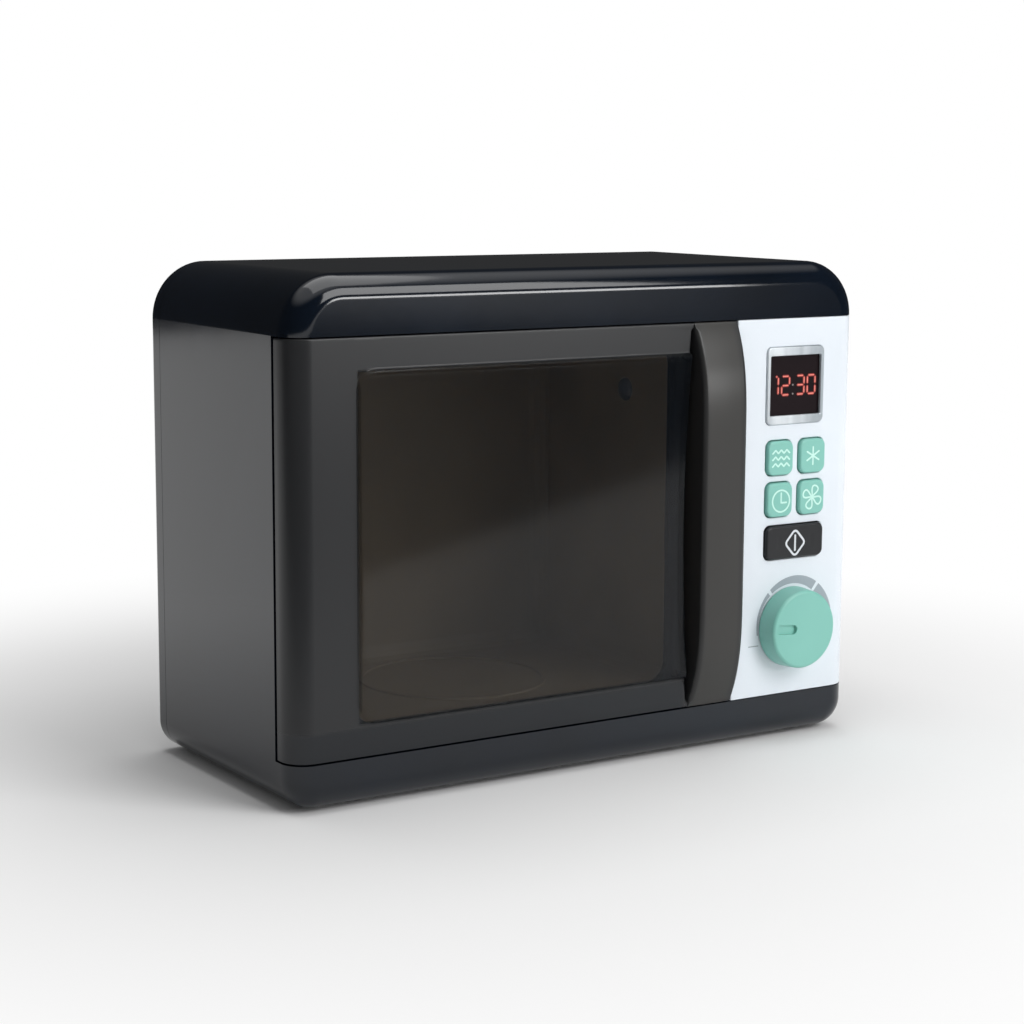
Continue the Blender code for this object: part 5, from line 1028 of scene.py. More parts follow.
@dataclass(frozen=True)
class Door:
    """The smoked door: wrapped hinge edge, raised window, finger groove and arched grab bar."""

    body: Body
    housing: Housing
    wall: float = 2.2 * MM
    gap: float = 0.6 * MM
    edge_radius: float = 0.8 * MM
    inner_edge_radius: float = 0.2 * MM
    window_low: Pair = (-132.0 * MM, 39.6 * MM)
    window_top: float = 205.0 * MM
    window_corner: float = 10.0 * MM
    window_proud: float = 2.2 * MM
    window_slope: float = 1.6 * MM
    grab_width: float = 27.4 * MM
    grab_proud: float = 10.8 * MM
    grab_ease: float = 56.0 * MM
    grab_left_radius: float = 2.5 * MM
    grab_right_radius: float = 3.2 * MM
    grab_crown: float = 0.25 * MM
    groove_width: float = 5.4 * MM
    groove_end_width: float = 1.0 * MM
    groove_depth: float = 10.0 * MM
    groove_end_depth: float = 1.2 * MM
    groove_ease: float = 26.0 * MM
    groove_end_inset: float = 3.0 * MM
    groove_edge: float = 0.8 * MM
    groove_floor_radius: float = 1.0 * MM
    pin_radius: float = 2.5 * MM
    pin_length: float = 4.5 * MM
    catch_height: float = 12.0 * MM
    catch_reach: float = 6.0 * MM
    # Points lie close together from a little outside the window's edge to well inside it.
    dense_before: float = 1.0 * MM
    dense_height: float = 13.0 * MM
    dense_width: float = 14.5 * MM

    @property
    def low(self) -> float:
        """Height of the door's lower edge."""
        return self.body.sill + self.gap

    @property
    def high(self) -> float:
        """Height of the door's upper edge."""
        return self.body.hood_z - self.gap

    @property
    def right(self) -> float:
        """X of the door's edge at the seam."""
        return self.body.seam_x - self.gap / 2

    @property
    def grab_left(self) -> float:
        """X of the grab bar's left face."""
        return self.right - self.grab_width

    @property
    def back(self) -> float:
        """Y of the door's open back."""
        return self.body.front + self.body.door_depth

    def heights(self, skin: float) -> Array:
        """Heights of the sections, close together along the window's upper and lower edges.

        Args:
            skin: How far inside the outer surface.

        Returns:
            The heights.
        """
        near, far = self.dense_before, self.dense_height
        bottom, top = self.window_low[1], self.window_top
        edge = self.edge_radius
        stops = (self.low + edge, bottom - near, bottom + far, top - far, top + near, self.high - edge)
        runs = zip(stops, stops[1:], (14, 44, 36, 44, 14))
        parts = [np.linspace(start, end, count, endpoint=False) for start, end, count in runs]
        outer = np.concatenate([*parts, [stops[-1]]])
        inner_edge = skin + self.inner_edge_radius
        low, high = (self.low + inner_edge, self.high - inner_edge) if skin else (stops[0], stops[-1])
        return low + (outer - stops[0]) * (high - low) / (stops[-1] - stops[0])

    def plateau(self, x: Array, z: Array, skin: float) -> Array:
        """How far the window field stands proud at (x, z).

        The depth inside a rounded rectangle, divided by the slope's width, goes through a smooth
        step: 0 on its edge and window_proud past its slope.

        Args:
            x: X of the points.
            z: Z of the points.
            skin: How far inside the outer surface.

        Returns:
            The rise at each point.
        """
        low = np.array(self.window_low) + skin
        high = np.array([self.right, self.window_top - skin])
        radius = self.window_corner - skin
        middle, half = (low + high) / 2, (high - low) / 2
        over_x = np.abs(x - middle[0]) - half[0] + radius
        over_z = np.abs(z - middle[1]) - half[1] + radius
        corner = np.hypot(np.maximum(over_x, 0), np.maximum(over_z, 0))
        depth = radius - corner - np.minimum(np.maximum(over_x, over_z), 0)
        return self.window_proud * smooth(depth / self.window_slope)

    def groove(self, z: Array) -> tuple[Array, Array]:
        """Width and depth of the finger groove at each height: both follow a quarter of a sine.

        Args:
            z: Heights.

        Returns:
            The widths and the depths.
        """
        low, high = self.low + self.groove_end_inset, self.high - self.groove_end_inset
        fade = smooth(np.minimum(z - low, high - z) / self.groove_edge + 0.5)
        middle_share = 1 - np.abs(2 * (z - low) / (high - low) - 1)
        end_share = np.minimum(z - low, high - z) / self.groove_ease
        widening, deepening = quarter_sine(middle_share), quarter_sine(end_share)
        width = self.groove_end_width + (self.groove_width - self.groove_end_width) * widening
        depth = self.groove_end_depth + (self.groove_depth - self.groove_end_depth) * deepening
        return width, depth * fade

    def section(self, z: Array, skin: float) -> tuple[Array, Array]:
        """The door in plan at each height, a skin inside its outer surface.

        It runs from the back of the hinge edge round the corner, over the window's rise, down and
        up the groove, over the grab bar and back along the seam. Each row is one height. The bar
        rises by 1 - (1 - t)^3 of its height, where t is the share of grab_ease from the door's end.
        Each rounded edge keeps to a share of the room it has.

        Args:
            z: Heights.
            skin: How far inside the outer surface.

        Returns:
            X and Y as (height, point in the section).
        """
        rows = z[:, None]
        left, right = self.body.left + skin, self.right - skin
        front = self.body.front + skin
        radius = self.body.front_radius - skin
        span = np.linspace
        x, y = [], []

        def add(new_x: Array, new_y: Array) -> None:
            """Adds points to every height.

            Args:
                new_x: Their X.
                new_y: Their Y.
            """
            shape = np.broadcast_shapes(np.shape(new_x), np.shape(new_y), (len(z), 1))
            x.append(np.broadcast_to(new_x, shape))
            y.append(np.broadcast_to(new_y, shape))

        def add_quarter(
            centre_x: Array, centre_y: Array, radii: Array, start: float, end: float, count: int
        ) -> None:
            """Adds an arc to every height: x = cx + r cos a, y = cy + r sin a."""
            angle = span(start, end, count)[None, :]
            add(centre_x + radii * np.cos(angle), centre_y + radii * np.sin(angle))

        add(left, span(self.back, front + radius, 5)[None, :-1])
        add_quarter(left + radius, front + radius, radius, np.pi, 1.5 * np.pi, 16)
        width, depth = (value[:, None] for value in self.groove(z))
        from_end = np.clip(np.minimum(rows - self.low, self.high - rows) / self.grab_ease, 0, 1)
        proud_share = 1 - (1 - from_end) ** 3
        face = front - self.grab_proud * proud_share
        groove_left, groove_right = self.grab_left - width - skin, self.grab_left + skin
        top = front - self.plateau(groove_left, rows, skin)
        floor = front + depth
        lip = np.minimum(self.groove_edge, 0.45 * (floor - top))
        dense = self.window_low[0] + skin - self.dense_before
        before, along = span(left + radius, dense, 5)[1:-1], span(dense, dense + self.dense_width, 46)
        flat = np.concatenate([before, along])[None, :]
        add(flat, front - self.plateau(flat, rows, skin))
        share = span(0, 1, 16)[None, 1:]
        wide = dense + self.dense_width + (groove_left - lip - dense - self.dense_width) * share
        add(wide, front - self.plateau(wide, rows, skin))
        add_quarter(groove_left - lip, top + lip, lip, -QUARTER, 0, 6)
        inner = np.minimum(self.groove_floor_radius, 0.4 * np.minimum(floor - top, width))
        add_quarter(groove_left + inner, floor - inner, -inner, 0, -QUARTER, 5)
        shoulder = np.minimum(self.grab_left_radius - skin / 2, 0.55 * (floor - face))
        add_quarter(groove_right - inner, floor - inner, inner, QUARTER, 0, 5)
        add_quarter(groove_right + shoulder, face + shoulder, shoulder, np.pi, 1.5 * np.pi, 10)
        end = self.edge_radius + (self.grab_right_radius - self.edge_radius) * proud_share
        end = np.maximum(end - skin / 2, self.inner_edge_radius)
        share = span(0, 1, 16)
        across = groove_right + shoulder + (right - end - groove_right - shoulder) * share[None, 1:-1]
        crown = self.grab_crown * proud_share * np.sin(np.pi * share)[None, 1:-1]
        add(across, face - (crown if not skin else 0))
        add_quarter(right - end, face + end, end, -QUARTER, 0, 14)
        add(right, (face + end) + (self.back - face - end) * span(0, 1, 5)[None, 1:])
        return np.concatenate(x, 1), np.concatenate(y, 1)

    def sheet(self, skin: float) -> Array:
        """The whole outer or inner surface as a grid, with its upper and lower edges turned back.

        Past the last section the outline moves in along its normal by r (1 - cos a) while it climbs
        r sin a, then runs straight to the open back.

        Args:
            skin: How far inside the outer surface.

        Returns:
            Points as (row, column, 3).
        """
        z = self.heights(skin)
        x, y = self.section(z, skin)
        rows = [np.stack([x, y, np.broadcast_to(z[:, None], x.shape)], -1)]
        edge = self.inner_edge_radius if skin else self.edge_radius
        angle = np.linspace(0, QUARTER, 6)[1:]
        for end, way in ((0, -1), (-1, 1)):
            plan = np.stack([x[end], y[end]], -1)
            tangent = np.gradient(plan, axis=0)
            tangent /= np.maximum(np.linalg.norm(tangent, axis=1), 1e-9)[:, None]
            inward = np.stack([-tangent[:, 1], tangent[:, 0]], -1)
            turned_in = plan + inward * (edge * (1 - np.cos(angle)))[:, None, None]
            turned_in[..., 1] = np.minimum(turned_in[..., 1], self.back)
            climbed = z[end] + way * edge * np.sin(angle)[:, None, None]
            curl = np.concatenate([turned_in, np.broadcast_to(climbed, (*turned_in.shape[:2], 1))], -1)
            run = np.linspace(0, 1, 4)[1:, None, None]
            straight = np.repeat(curl[-1:], 3, 0)
            straight[..., 1:2] += (self.back - straight[..., 1:2]) * run
            turned_rows = np.concatenate([curl, straight])
            rows = [turned_rows[::-1], *rows] if way < 0 else [*rows, turned_rows]
        return np.concatenate(rows)

    def shell(self) -> Mesh:
        """Joins the outer and the inner surface along the open back.

        Returns:
            The mesh.
        """
        outer, inner = self.sheet(0.0), self.sheet(self.wall)
        rows, columns = outer.shape[:2]
        quads = grid_quads(rows, columns)
        first, right = np.arange(columns), np.arange(1, rows) * columns + columns - 1
        last, left = (rows - 1) * columns + first[:-1][::-1], np.arange(1, rows - 1)[::-1] * columns
        border = np.concatenate([first, right, last, left])
        after = np.roll(border, -1)
        shift = rows * columns
        rim = np.stack([border, after, after + shift, border + shift], -1)
        faces = np.concatenate([quads, quads[:, ::-1] + shift, rim])
        points = np.concatenate([outer.reshape(-1, 3), inner.reshape(-1, 3)])
        return mesh_from("door shell", points, faces)

    def fittings(self) -> list[Mesh]:
        """The two hinge pins and the catch tongue.

        Returns:
            The meshes.
        """
        middle = (self.low + self.high) / 2
        low = (self.right - self.wall, self.back - self.wall, middle - self.catch_height / 2)
        high = (self.right - self.wall / 4, self.back + self.catch_reach, middle + self.catch_height / 2)
        parts = [box_mesh("catch", low, high)]
        for z, way in ((self.high, 1), (self.low, -1)):
            ends = sorted((z - way * self.wall / 2, z + way * self.pin_length))
            parts.append(plan_prism("pin", circle(self.housing.hinge, self.pin_radius, 32), *ends))
        return parts

    def build(self) -> None:
        """Puts the fittings into the shell's wall and places the door."""
        mesh = merged("door", [self.shell(), *self.fittings()])
        place_piece("door_skin", mesh, Palette.DOOR, "swing_door", ["door"])


@dataclass(frozen=True)
class Controls:
    """Sizes and places of everything on the control panel."""

    body: Body
    key_width: float = 16.5 * MM
    key_height: float = 17.6 * MM
    key_radius: float = 4.0 * MM
    pitch: Pair = (21.2 * MM, 21.6 * MM)
    keys_centre: Pair = (125.1 * MM, 137.6 * MM)
    key_proud: float = 2.0 * MM
    key_clearance: float = 0.5 * MM
    start_size: Pair = (37.5 * MM, 17.2 * MM)
    start_radius: float = 3.6 * MM
    start_z: float = 104.4 * MM
    start_rings: int = 34
    dimple_offset: float = 11.5 * MM
    bezel_centre: Pair = (124.0 * MM, 185.4 * MM)
    bezel_size: Pair = (37.2 * MM, 39.6 * MM)
    bezel_radius: float = 3.0 * MM
    bezel_clearance: float = 0.1 * MM
    knob_centre: Pair = (124.4 * MM, 59.7 * MM)
    shaft_bore: float = 4.4 * MM

    @property
    def start_centre(self) -> Pair:
        """X and Z of the start key's centre."""
        return self.keys_centre[0], self.start_z

    def key_centre(self, side: int, level: int) -> Pair:
        """X and Z of a square key's centre."""
        x, z = self.keys_centre
        return x + side * self.pitch[0] / 2, z + level * self.pitch[1] / 2


@dataclass(frozen=True)
class Panel:
    """The white fascia that wraps the front right corner."""

    body: Body
    controls: Controls
    wall: float = 2.2 * MM
    gap: float = 0.3 * MM
    edge_radius: float = 0.5 * MM

    def outline(self, skin: float) -> Array:
        """The panel in plan: square at the seam and round at the corner.

        Args:
            skin: How far inside the outer surface.

        Returns:
            Its points (x, y).
        """
        body = self.body
        left, right = body.seam_x + self.gap + skin, body.right - skin
        radius = body.front_radius - skin
        front = body.front + skin
        back = body.front + body.door_depth + (OVERRUN if skin else 0)
        angle = np.linspace(-QUARTER, 0, 25)
        x, y = right - radius + radius * np.cos(angle), front + radius + radius * np.sin(angle)
        bend = np.stack([x, y], -1)
        return np.concatenate([[(left, back), (left, front)], bend, [(right, back)]])

    def holes(self) -> Mesh:
        """Openings for the keys, the display and the knob's shaft.

        Returns:
            The mesh.
        """
        controls, body = self.controls, self.body
        start, end = body.front - OVERRUN, body.front + self.wall + OVERRUN
        key_size, gap = (controls.key_width, controls.key_height), controls.key_clearance
        centres = [controls.key_centre(side, level) for side in (-1, 1) for level in (-1, 1)]
        holes = [(centre, key_size, controls.key_radius, gap) for centre in centres]
        holes.append((controls.start_centre, controls.start_size, controls.start_radius, gap))
        bezel = (controls.bezel_centre, controls.bezel_size, controls.bezel_radius)
        holes.append((*bezel, controls.bezel_clearance))
        meshes = []
        for centre, size, radius, clearance in holes:
            half = np.array(size) / 2 + clearance
            outline = rounded_corners(np.array(centre) - half, np.array(centre) + half, (radius,) * 4, 10)
            meshes.append(front_prism("hole", outline, start, end))
        meshes.append(rod_along_y("shaft", controls.knob_centre, start, end, controls.shaft_bore))
        return merged("holes", meshes)

    def build(self) -> None:
        """Hollows the fascia, cuts its holes, rounds its edges and places it."""
        body = self.body
        low, high = body.sill + self.gap, body.hood_z - self.gap
        inside = plan_prism("inside", self.outline(self.wall), low + self.wall, high - self.wall)
        mesh = carve(
            plan_prism("panel", self.outline(0.0), low, high),
            [(CUT, inside), (CUT, self.holes())],
            self.edge_radius,
        )
        place_piece("panel_skin", mesh, Palette.PANEL, "housing", ["control_panel"])


@dataclass(frozen=True)
class Display:
    """The silver bezel, the dark window and its clock reading."""

    body: Body
    controls: Controls
    side: float = 2.2 * MM
    top: float = 4.5 * MM
    proud: float = 1.0 * MM
    edge: float = 0.6 * MM
    sink: float = 0.7 * MM
    thickness: float = 2.0 * MM
    ledge: float = 0.3 * MM
    ledge_lift: float = 0.3 * MM
    inner_radius: float = 0.8 * MM
    window_edge: float = 0.2 * MM
    frame_depth: float = 4.2 * MM
    rim_depth: float = 1.4 * MM
    sleeve_inset: float = 1.1 * MM
    digits: str = "1230"
    digit_lefts: tuple[float, ...] = (107.8 * MM, 115.2 * MM, 124.8 * MM, 132.1 * MM)
    digits_low: float = 179.8 * MM
    digit_height: float = 11.0 * MM
    digit_width: float = 6.6 * MM
    segment: float = 1.5 * MM
    segment_gap: float = 0.15 * MM
    serif: float = 2.2 * MM
    core_share: float = 0.36
    colon_x: float = 123.3 * MM
    dot_heights: Pair = (180.9 * MM, 185.5 * MM)
    dot_radius: float = 0.5 * MM

    SEGMENTS = {"0": "abcdef", "1": "sbc", "2": "abged", "3": "abgcd"}

    def ring(self, inset: Pair, radius: float, y: float) -> Array:
        """One ring of the bezel's section: its rectangle, moved in and with round corners.

        Args:
            inset: How far it is moved in along X and along Z.
            radius: Its corners' radius.
            y: Its depth from the front plane.

        Returns:
            The ring's points.
        """
        half = np.array(self.controls.bezel_size) / 2 - np.array(inset)
        centre = np.array(self.controls.bezel_centre)
        outline = rounded_corners(centre - half, centre + half, (radius,) * 4, 10)
        return on_front(outline, self.body.front + y)

    def bezel(self) -> Mesh:
        """A frame whose section is carried round a rounded rectangle that shrinks across it.

        Returns:
            The mesh.
        """
        outer, inner = self.controls.bezel_radius, self.inner_radius
        insets, drops = quarter_edge(self.edge, 6)
        sleeve, rim = ((self.sleeve_inset,) * 2, outer - self.sleeve_inset), self.rim_depth
        rings = [(*sleeve, self.frame_depth), (*sleeve, rim), ((0.0, 0.0), outer, rim)]
        rings += [((i, i), outer, drop - self.proud) for i, drop in zip(insets[::-1], drops[::-1])]
        for inset, drop in zip(insets, drops):
            rings.append(((self.side - inset, self.top - inset), inner, drop - self.proud))
        foot = self.sink - self.ledge_lift
        rings.append(((self.side, self.top), inner, foot))
        ledge = (self.side - 2 * self.ledge, self.top - 2 * self.ledge)
        rings += [(ledge, inner, foot), (ledge, inner, self.frame_depth)]
        return loft("bezel", np.stack([self.ring(*ring) for ring in rings]), True)

    def window(self) -> Mesh:
        """The window plate, with its front edges rounded.

        Returns:
            The mesh.
        """
        insets, drops = quarter_edge(self.window_edge, 4)
        reach = (self.side - self.ledge, self.top - self.ledge)
        steps = [((reach[0] + i, reach[1] + i), self.sink + drop) for i, drop in zip(insets, drops)]
        steps.append((reach, self.sink + self.thickness))
        rings = [self.ring(inset, self.inner_radius, y) for inset, y in steps]
        return loft("window", np.stack(rings))

    def bar(self, start: Array, end: Array, width: float, rise: float) -> Mesh:
        """One segment of a digit: a bar between two points with pointed ends.

        Args:
            start: One end, as (x, z).
            end: The other end.
            width: The bar's width.
            rise: How far its face stands in front of the window.

        Returns:
            The mesh.
        """
        along = (end - start) / np.linalg.norm(end - start)
        across = np.array([-along[1], along[0]]) * width / 2
        tip = along * width / 2
        near, far = start + tip, end - tip
        outline = np.stack([start, near + across, far + across, end, far - across, near - across])
        face = self.body.front + self.sink
        return front_prism("bar", outline, face - rise, face + PRINT_ROOT)

    def reading(self, width: float, rise: float, shrink: float) -> Mesh:
        """All the lit segments of the reading at one width.

        Args:
            width: Width of a segment.
            rise: How far they stand in front of the window.
            shrink: How much shorter each end is.

        Returns:
            The mesh.
        """
        parts = []
        low = self.digits_low + self.segment / 2
        high = low + self.digit_height - self.segment
        middle = (low + high) / 2
        for digit, left in zip(self.digits, self.digit_lefts):
            x0 = left + self.segment / 2
            x1 = x0 + self.digit_width - self.segment
            ends = {
                "a": ((x0, high), (x1, high)), "b": ((x1, high), (x1, middle)),
                "c": ((x1, middle), (x1, low)), "d": ((x0, low), (x1, low)),
                "e": ((x0, middle), (x0, low)), "f": ((x0, high), (x0, middle)),
                "g": ((x0, middle), (x1, middle)), "s": ((x1 - self.serif, high), (x1, high)),
            }
            for letter in self.SEGMENTS[digit]:
                start, end = (np.array(point) for point in ends[letter])
                along = (end - start) / np.linalg.norm(end - start) * (self.segment_gap + shrink)
                parts.append(self.bar(start + along, end - along, width, rise))
        return merged("reading", parts)

    def colon(self) -> Mesh:
        """The two dots between the hours and the minutes.

        Returns:
            The mesh.
        """
        face = self.body.front + self.sink
        start, end = face - PRINT_RISE, face + PRINT_ROOT
        places = [(self.colon_x, z) for z in self.dot_heights]
        return merged("colon", [rod_along_y("dot", place, start, end, self.dot_radius) for place in places])

    def build(self) -> None:
        """Places bezel, window and reading."""
        place_piece("bezel_skin", self.bezel(), Palette.BEZEL, "housing", ["display_bezel"])
        window = self.window()
        place_piece("window_skin", window, Palette.DISPLAY, "housing", ["display_window"])
        outer = self.reading(self.segment, PRINT_RISE, 0.0)
        core = self.reading(self.segment * self.core_share, 2 * PRINT_RISE, self.segment / 3)
        place_piece("reading", outer, Palette.RED, "housing")
        place_piece("reading_core", core, Palette.CORAL, "housing")
        place_piece("reading_colon", self.colon(), Palette.DOT, "housing")


@dataclass(frozen=True)
class KeyCap:
    """One key: a rounded cap with a holding flange and a plunger behind the panel."""

    body: Body
    centre: Pair
    size: Pair
    radius: float
    proud: float = 2.0 * MM
    edge: float = 1.0 * MM
    flange: float = 1.0 * MM
    flange_start: float = 2.5 * MM
    flange_end: float = 4.0 * MM
    plunger_radius: float = 3.0 * MM
    plunger_end: float = 5.0 * MM
    steps: int = 12
    top_rings: int = 14
    dimple_offset: float = 0.0
    dimple_radius: float = 3.7 * MM
    dimple_depth: float = 1.1 * MM

    def outline(self, inset: float) -> Array:
        """The cap's outline, moved in by an inset.

        Args:
            inset: How far.

        Returns:
            Its points (x, z).
        """
        half = np.array(self.size) / 2 - inset
        corner = max(self.radius - inset, self.radius / 4)
        centre = np.array(self.centre)
        return rounded_corners(centre - half, centre + half, (corner,) * 4, self.steps)

    def sunk(self, points: Array) -> Array:
        """Sinks points of the face into the two round dimples: depth (1 - (r/R)^2)^2.

        Args:
            points: Points of the face, which are changed.

        Returns:
            The points.
        """
        if not self.dimple_offset:
            return points
        x, z = points[..., 0] - self.centre[0], points[..., 2] - self.centre[1]
        away = np.hypot(np.abs(x) - self.dimple_offset, z) / self.dimple_radius
        points[..., 1] += self.dimple_depth * np.clip(1 - away**2, 0, 1) ** 2
        return points

    def mesh(self) -> Mesh:
        """Rings from the plunger's end out to the flange, up the cap's side and in over its face.

        The face is a polar grid: each ring is the outline scaled towards the centre.

        Returns:
            The mesh.
        """
        front = self.body.front
        count = 4 * (self.steps + 1)
        plunger = circle(self.centre, self.plunger_radius, count)
        plunger = np.roll(plunger, -(5 * count) // 8 + 1, 0)
        back = np.stack([on_front(plunger, front + y) for y in (self.plunger_end, self.flange_end)])
        side = [
            on_front(self.outline(-self.flange), front + self.flange_end),
            on_front(self.outline(-self.flange), front + self.flange_start),
            on_front(self.outline(0), front + self.flange_start),
        ]
        insets, drops = quarter_edge(self.edge, 8)
        edge = zip(insets[::-1], drops[::-1])
        side += [on_front(self.outline(i), front - self.proud + d) for i, d in edge]
        last = side[-1]
        centre = np.array([self.centre[0], front - self.proud, self.centre[1]])
        share = np.linspace(1, 0, self.top_rings + 1)[1:, None, None]
        face = self.sunk(centre + (last - centre) * share)
        rings = np.concatenate([back, np.stack(side), face])
        rows, around = rings.shape[:2]
        faces = grid_quads(rows, around, False, True).tolist() + [list(range(around))]
        return mesh_from("key", rings, faces)


class Icon(Enum):
    """The pictograms on the mint keys."""

    WAVES = "waves"
    DEFROST = "defrost"
    TIMER = "timer"
    FAN = "fan"


@dataclass(frozen=True)
class Keys:
    """The four mint keys and the black start key, with their printed pictograms."""

    body: Body
    controls: Controls
    line: float = 0.9 * MM
    mark_line: float = 1.15 * MM
    wave_width: float = 11.0 * MM
    wave_rise: float = 0.95 * MM
    wave_pitch: float = 3.4 * MM
    flake_reach: float = 4.5 * MM
    clock_radius: float = 5.6 * MM
    clock_shift: Pair = (0.6 * MM, -0.6 * MM)
    clock_drop: float = 0.9 * MM
    clock_hands: Pair = (5.0 * MM, 3.5 * MM)
    petal_length: float = 6.3 * MM
    petal_width: float = 3.1 * MM
    petal_turn: float = 65.0
    hub_radius: float = 0.8 * MM
    hub_layer: int = 5
    mark_radius: float = 2.0 * MM
    mark_half: Pair = (6.6 * MM, 7.2 * MM)
    mark_drop: float = 0.7 * MM
    mark_bar: float = 3.8 * MM

    PLACES = {Icon.WAVES: (-1, 1), Icon.DEFROST: (1, 1), Icon.TIMER: (-1, -1), Icon.FAN: (1, -1)}

    @property
    def face(self) -> float:
        """Y of the keys' faces."""
        return self.body.front - self.controls.key_proud

    def waves(self, centre: Array) -> list[Mesh]:
        """Three wavy lines with three peaks each: an arcsine of 0.95 sin a is a zigzag with soft turns.

        Args:
            centre: The key's centre.

        Returns:
            The meshes.
        """
        share = np.linspace(0, 1, 73)
        across = (share - 0.5) * self.wave_width
        rise = self.wave_rise * np.arcsin(0.95 * np.sin(6 * np.pi * share - QUARTER)) / QUARTER
        return [
            stroke(np.stack([across, rise + step * self.wave_pitch], -1) + centre, self.line, self.face)
            for step in (-1, 0, 1)
        ]

    def defrost(self, centre: Array) -> list[Mesh]:
        """A snowflake: three lines that cross at 60 degrees.

        Args:
            centre: The key's centre.

        Returns:
            The meshes.
        """
        reach = np.linspace(-self.flake_reach, self.flake_reach, 12)[:, None]
        ways = [np.array([math.cos(angle), math.sin(angle)]) for angle in np.radians([90.0, 30.0, 150.0])]
        return [stroke(centre + reach * way, self.line, self.face, layer=i) for i, way in enumerate(ways)]

    def timer(self, centre: Array) -> list[Mesh]:
        """A clock: a ring with one hand up and one to the right.

        Args:
            centre: The key's centre.

        Returns:
            The meshes.
        """
        middle = centre + np.array(self.clock_shift)
        ring = stroke(circle(middle, self.clock_radius, 64), self.line, self.face, closed=True)
        joint = middle - (0, self.clock_drop)
        up, right = joint + (0, self.clock_hands[0]), joint + (self.clock_hands[1], 0)
        hands = np.concatenate([np.linspace(up, joint, 9), np.linspace(joint, right, 9)[1:]])
        return [ring, stroke(hands, self.line, self.face)]

    def fan(self, centre: Array) -> list[Mesh]:
        """Four petal loops that meet at a round hub.

        A petal is along = R (1 - cos t) / 2, across = W sin t (1 - cos t) / 2 for t from 0 to 2 pi.

        Args:
            centre: The key's centre.

        Returns:
            The meshes.
        """
        t = np.linspace(0, 2 * np.pi, 57)[3:-3]
        swell = (1 - np.cos(t)) / 2
        along, across = self.petal_length * swell, self.petal_width * np.sin(t) * swell
        petals = []
        for quarter in range(4):
            angle = math.radians(self.petal_turn) + quarter * QUARTER
            way = np.array([math.cos(angle), math.sin(angle)])
            side = np.array([-way[1], way[0]])
            path = centre + along[:, None] * way + across[:, None] * side
            petals.append(stroke(path, self.line, self.face, closed=True, layer=quarter))
        top, root = self.face - (PRINT_RISE + self.hub_layer * LAYER_STEP), self.face + PRINT_ROOT
        petals.append(rod_along_y("hub", centre, top, root, self.hub_radius))
        return petals

    def start_mark(self, centre: Array) -> list[Mesh]:
        """A diamond with round corners, and an upright bar inside it.

        Each corner is an arc about a corner of a smaller diamond, between the normals of its sides.

        Args:
            centre: The key's centre.

        Returns:
            The meshes.
        """
        radius, half = self.mark_radius, np.array(self.mark_half)
        lean = math.atan2(half[0], half[1])
        shrunk = half - radius / np.array([math.cos(lean), math.sin(lean)])
        corners = np.array([(shrunk[0], 0), (0, shrunk[1]), (-shrunk[0], 0), (0, -shrunk[1])])
        spans = np.array([lean, QUARTER - lean, lean, QUARTER - lean])
        angle = (np.arange(4) * QUARTER)[:, None] + spans[:, None] * np.linspace(-1, 1, 9)
        arcs = corners[:, None] + radius * np.stack([np.cos(angle), np.sin(angle)], -1)
        middle = centre - (0, self.mark_drop)
        ring = stroke(arcs.reshape(-1, 2) + middle, self.mark_line, self.face, closed=True)
        ends = np.array([(0, -self.mark_bar), (0, 0), (0, self.mark_bar)])
        return [ring, stroke(middle + ends, self.mark_line, self.face)]

    def build(self) -> None:
        """Places the keys and their pictograms on their own bodies."""
        controls = self.controls
        key_size = (controls.key_width, controls.key_height)
        for icon, step in self.PLACES.items():
            centre = controls.key_centre(*step)
            cap = KeyCap(self.body, centre, key_size, controls.key_radius)
            key, body = icon.value, f"{icon.value}_key"
            place_piece(f"{key}_cap", cap.mesh(), Palette.MINT, body, [f"button_{key}"])
            drawing = getattr(self, key)(np.array(centre))
            place_piece(f"{key}_print", merged("print", drawing), Palette.MINT_INK, body)
        cap = KeyCap(
            self.body,
            controls.start_centre,
            controls.start_size,
            controls.start_radius,
            top_rings=controls.start_rings,
            dimple_offset=controls.dimple_offset,
        )
        place_piece("start_cap", cap.mesh(), Palette.START, "start_key", ["start_button"])
        mark = merged("print", self.start_mark(np.array(controls.start_centre)))
        place_piece("start_print", mark, Palette.WHITE_INK, "start_key")


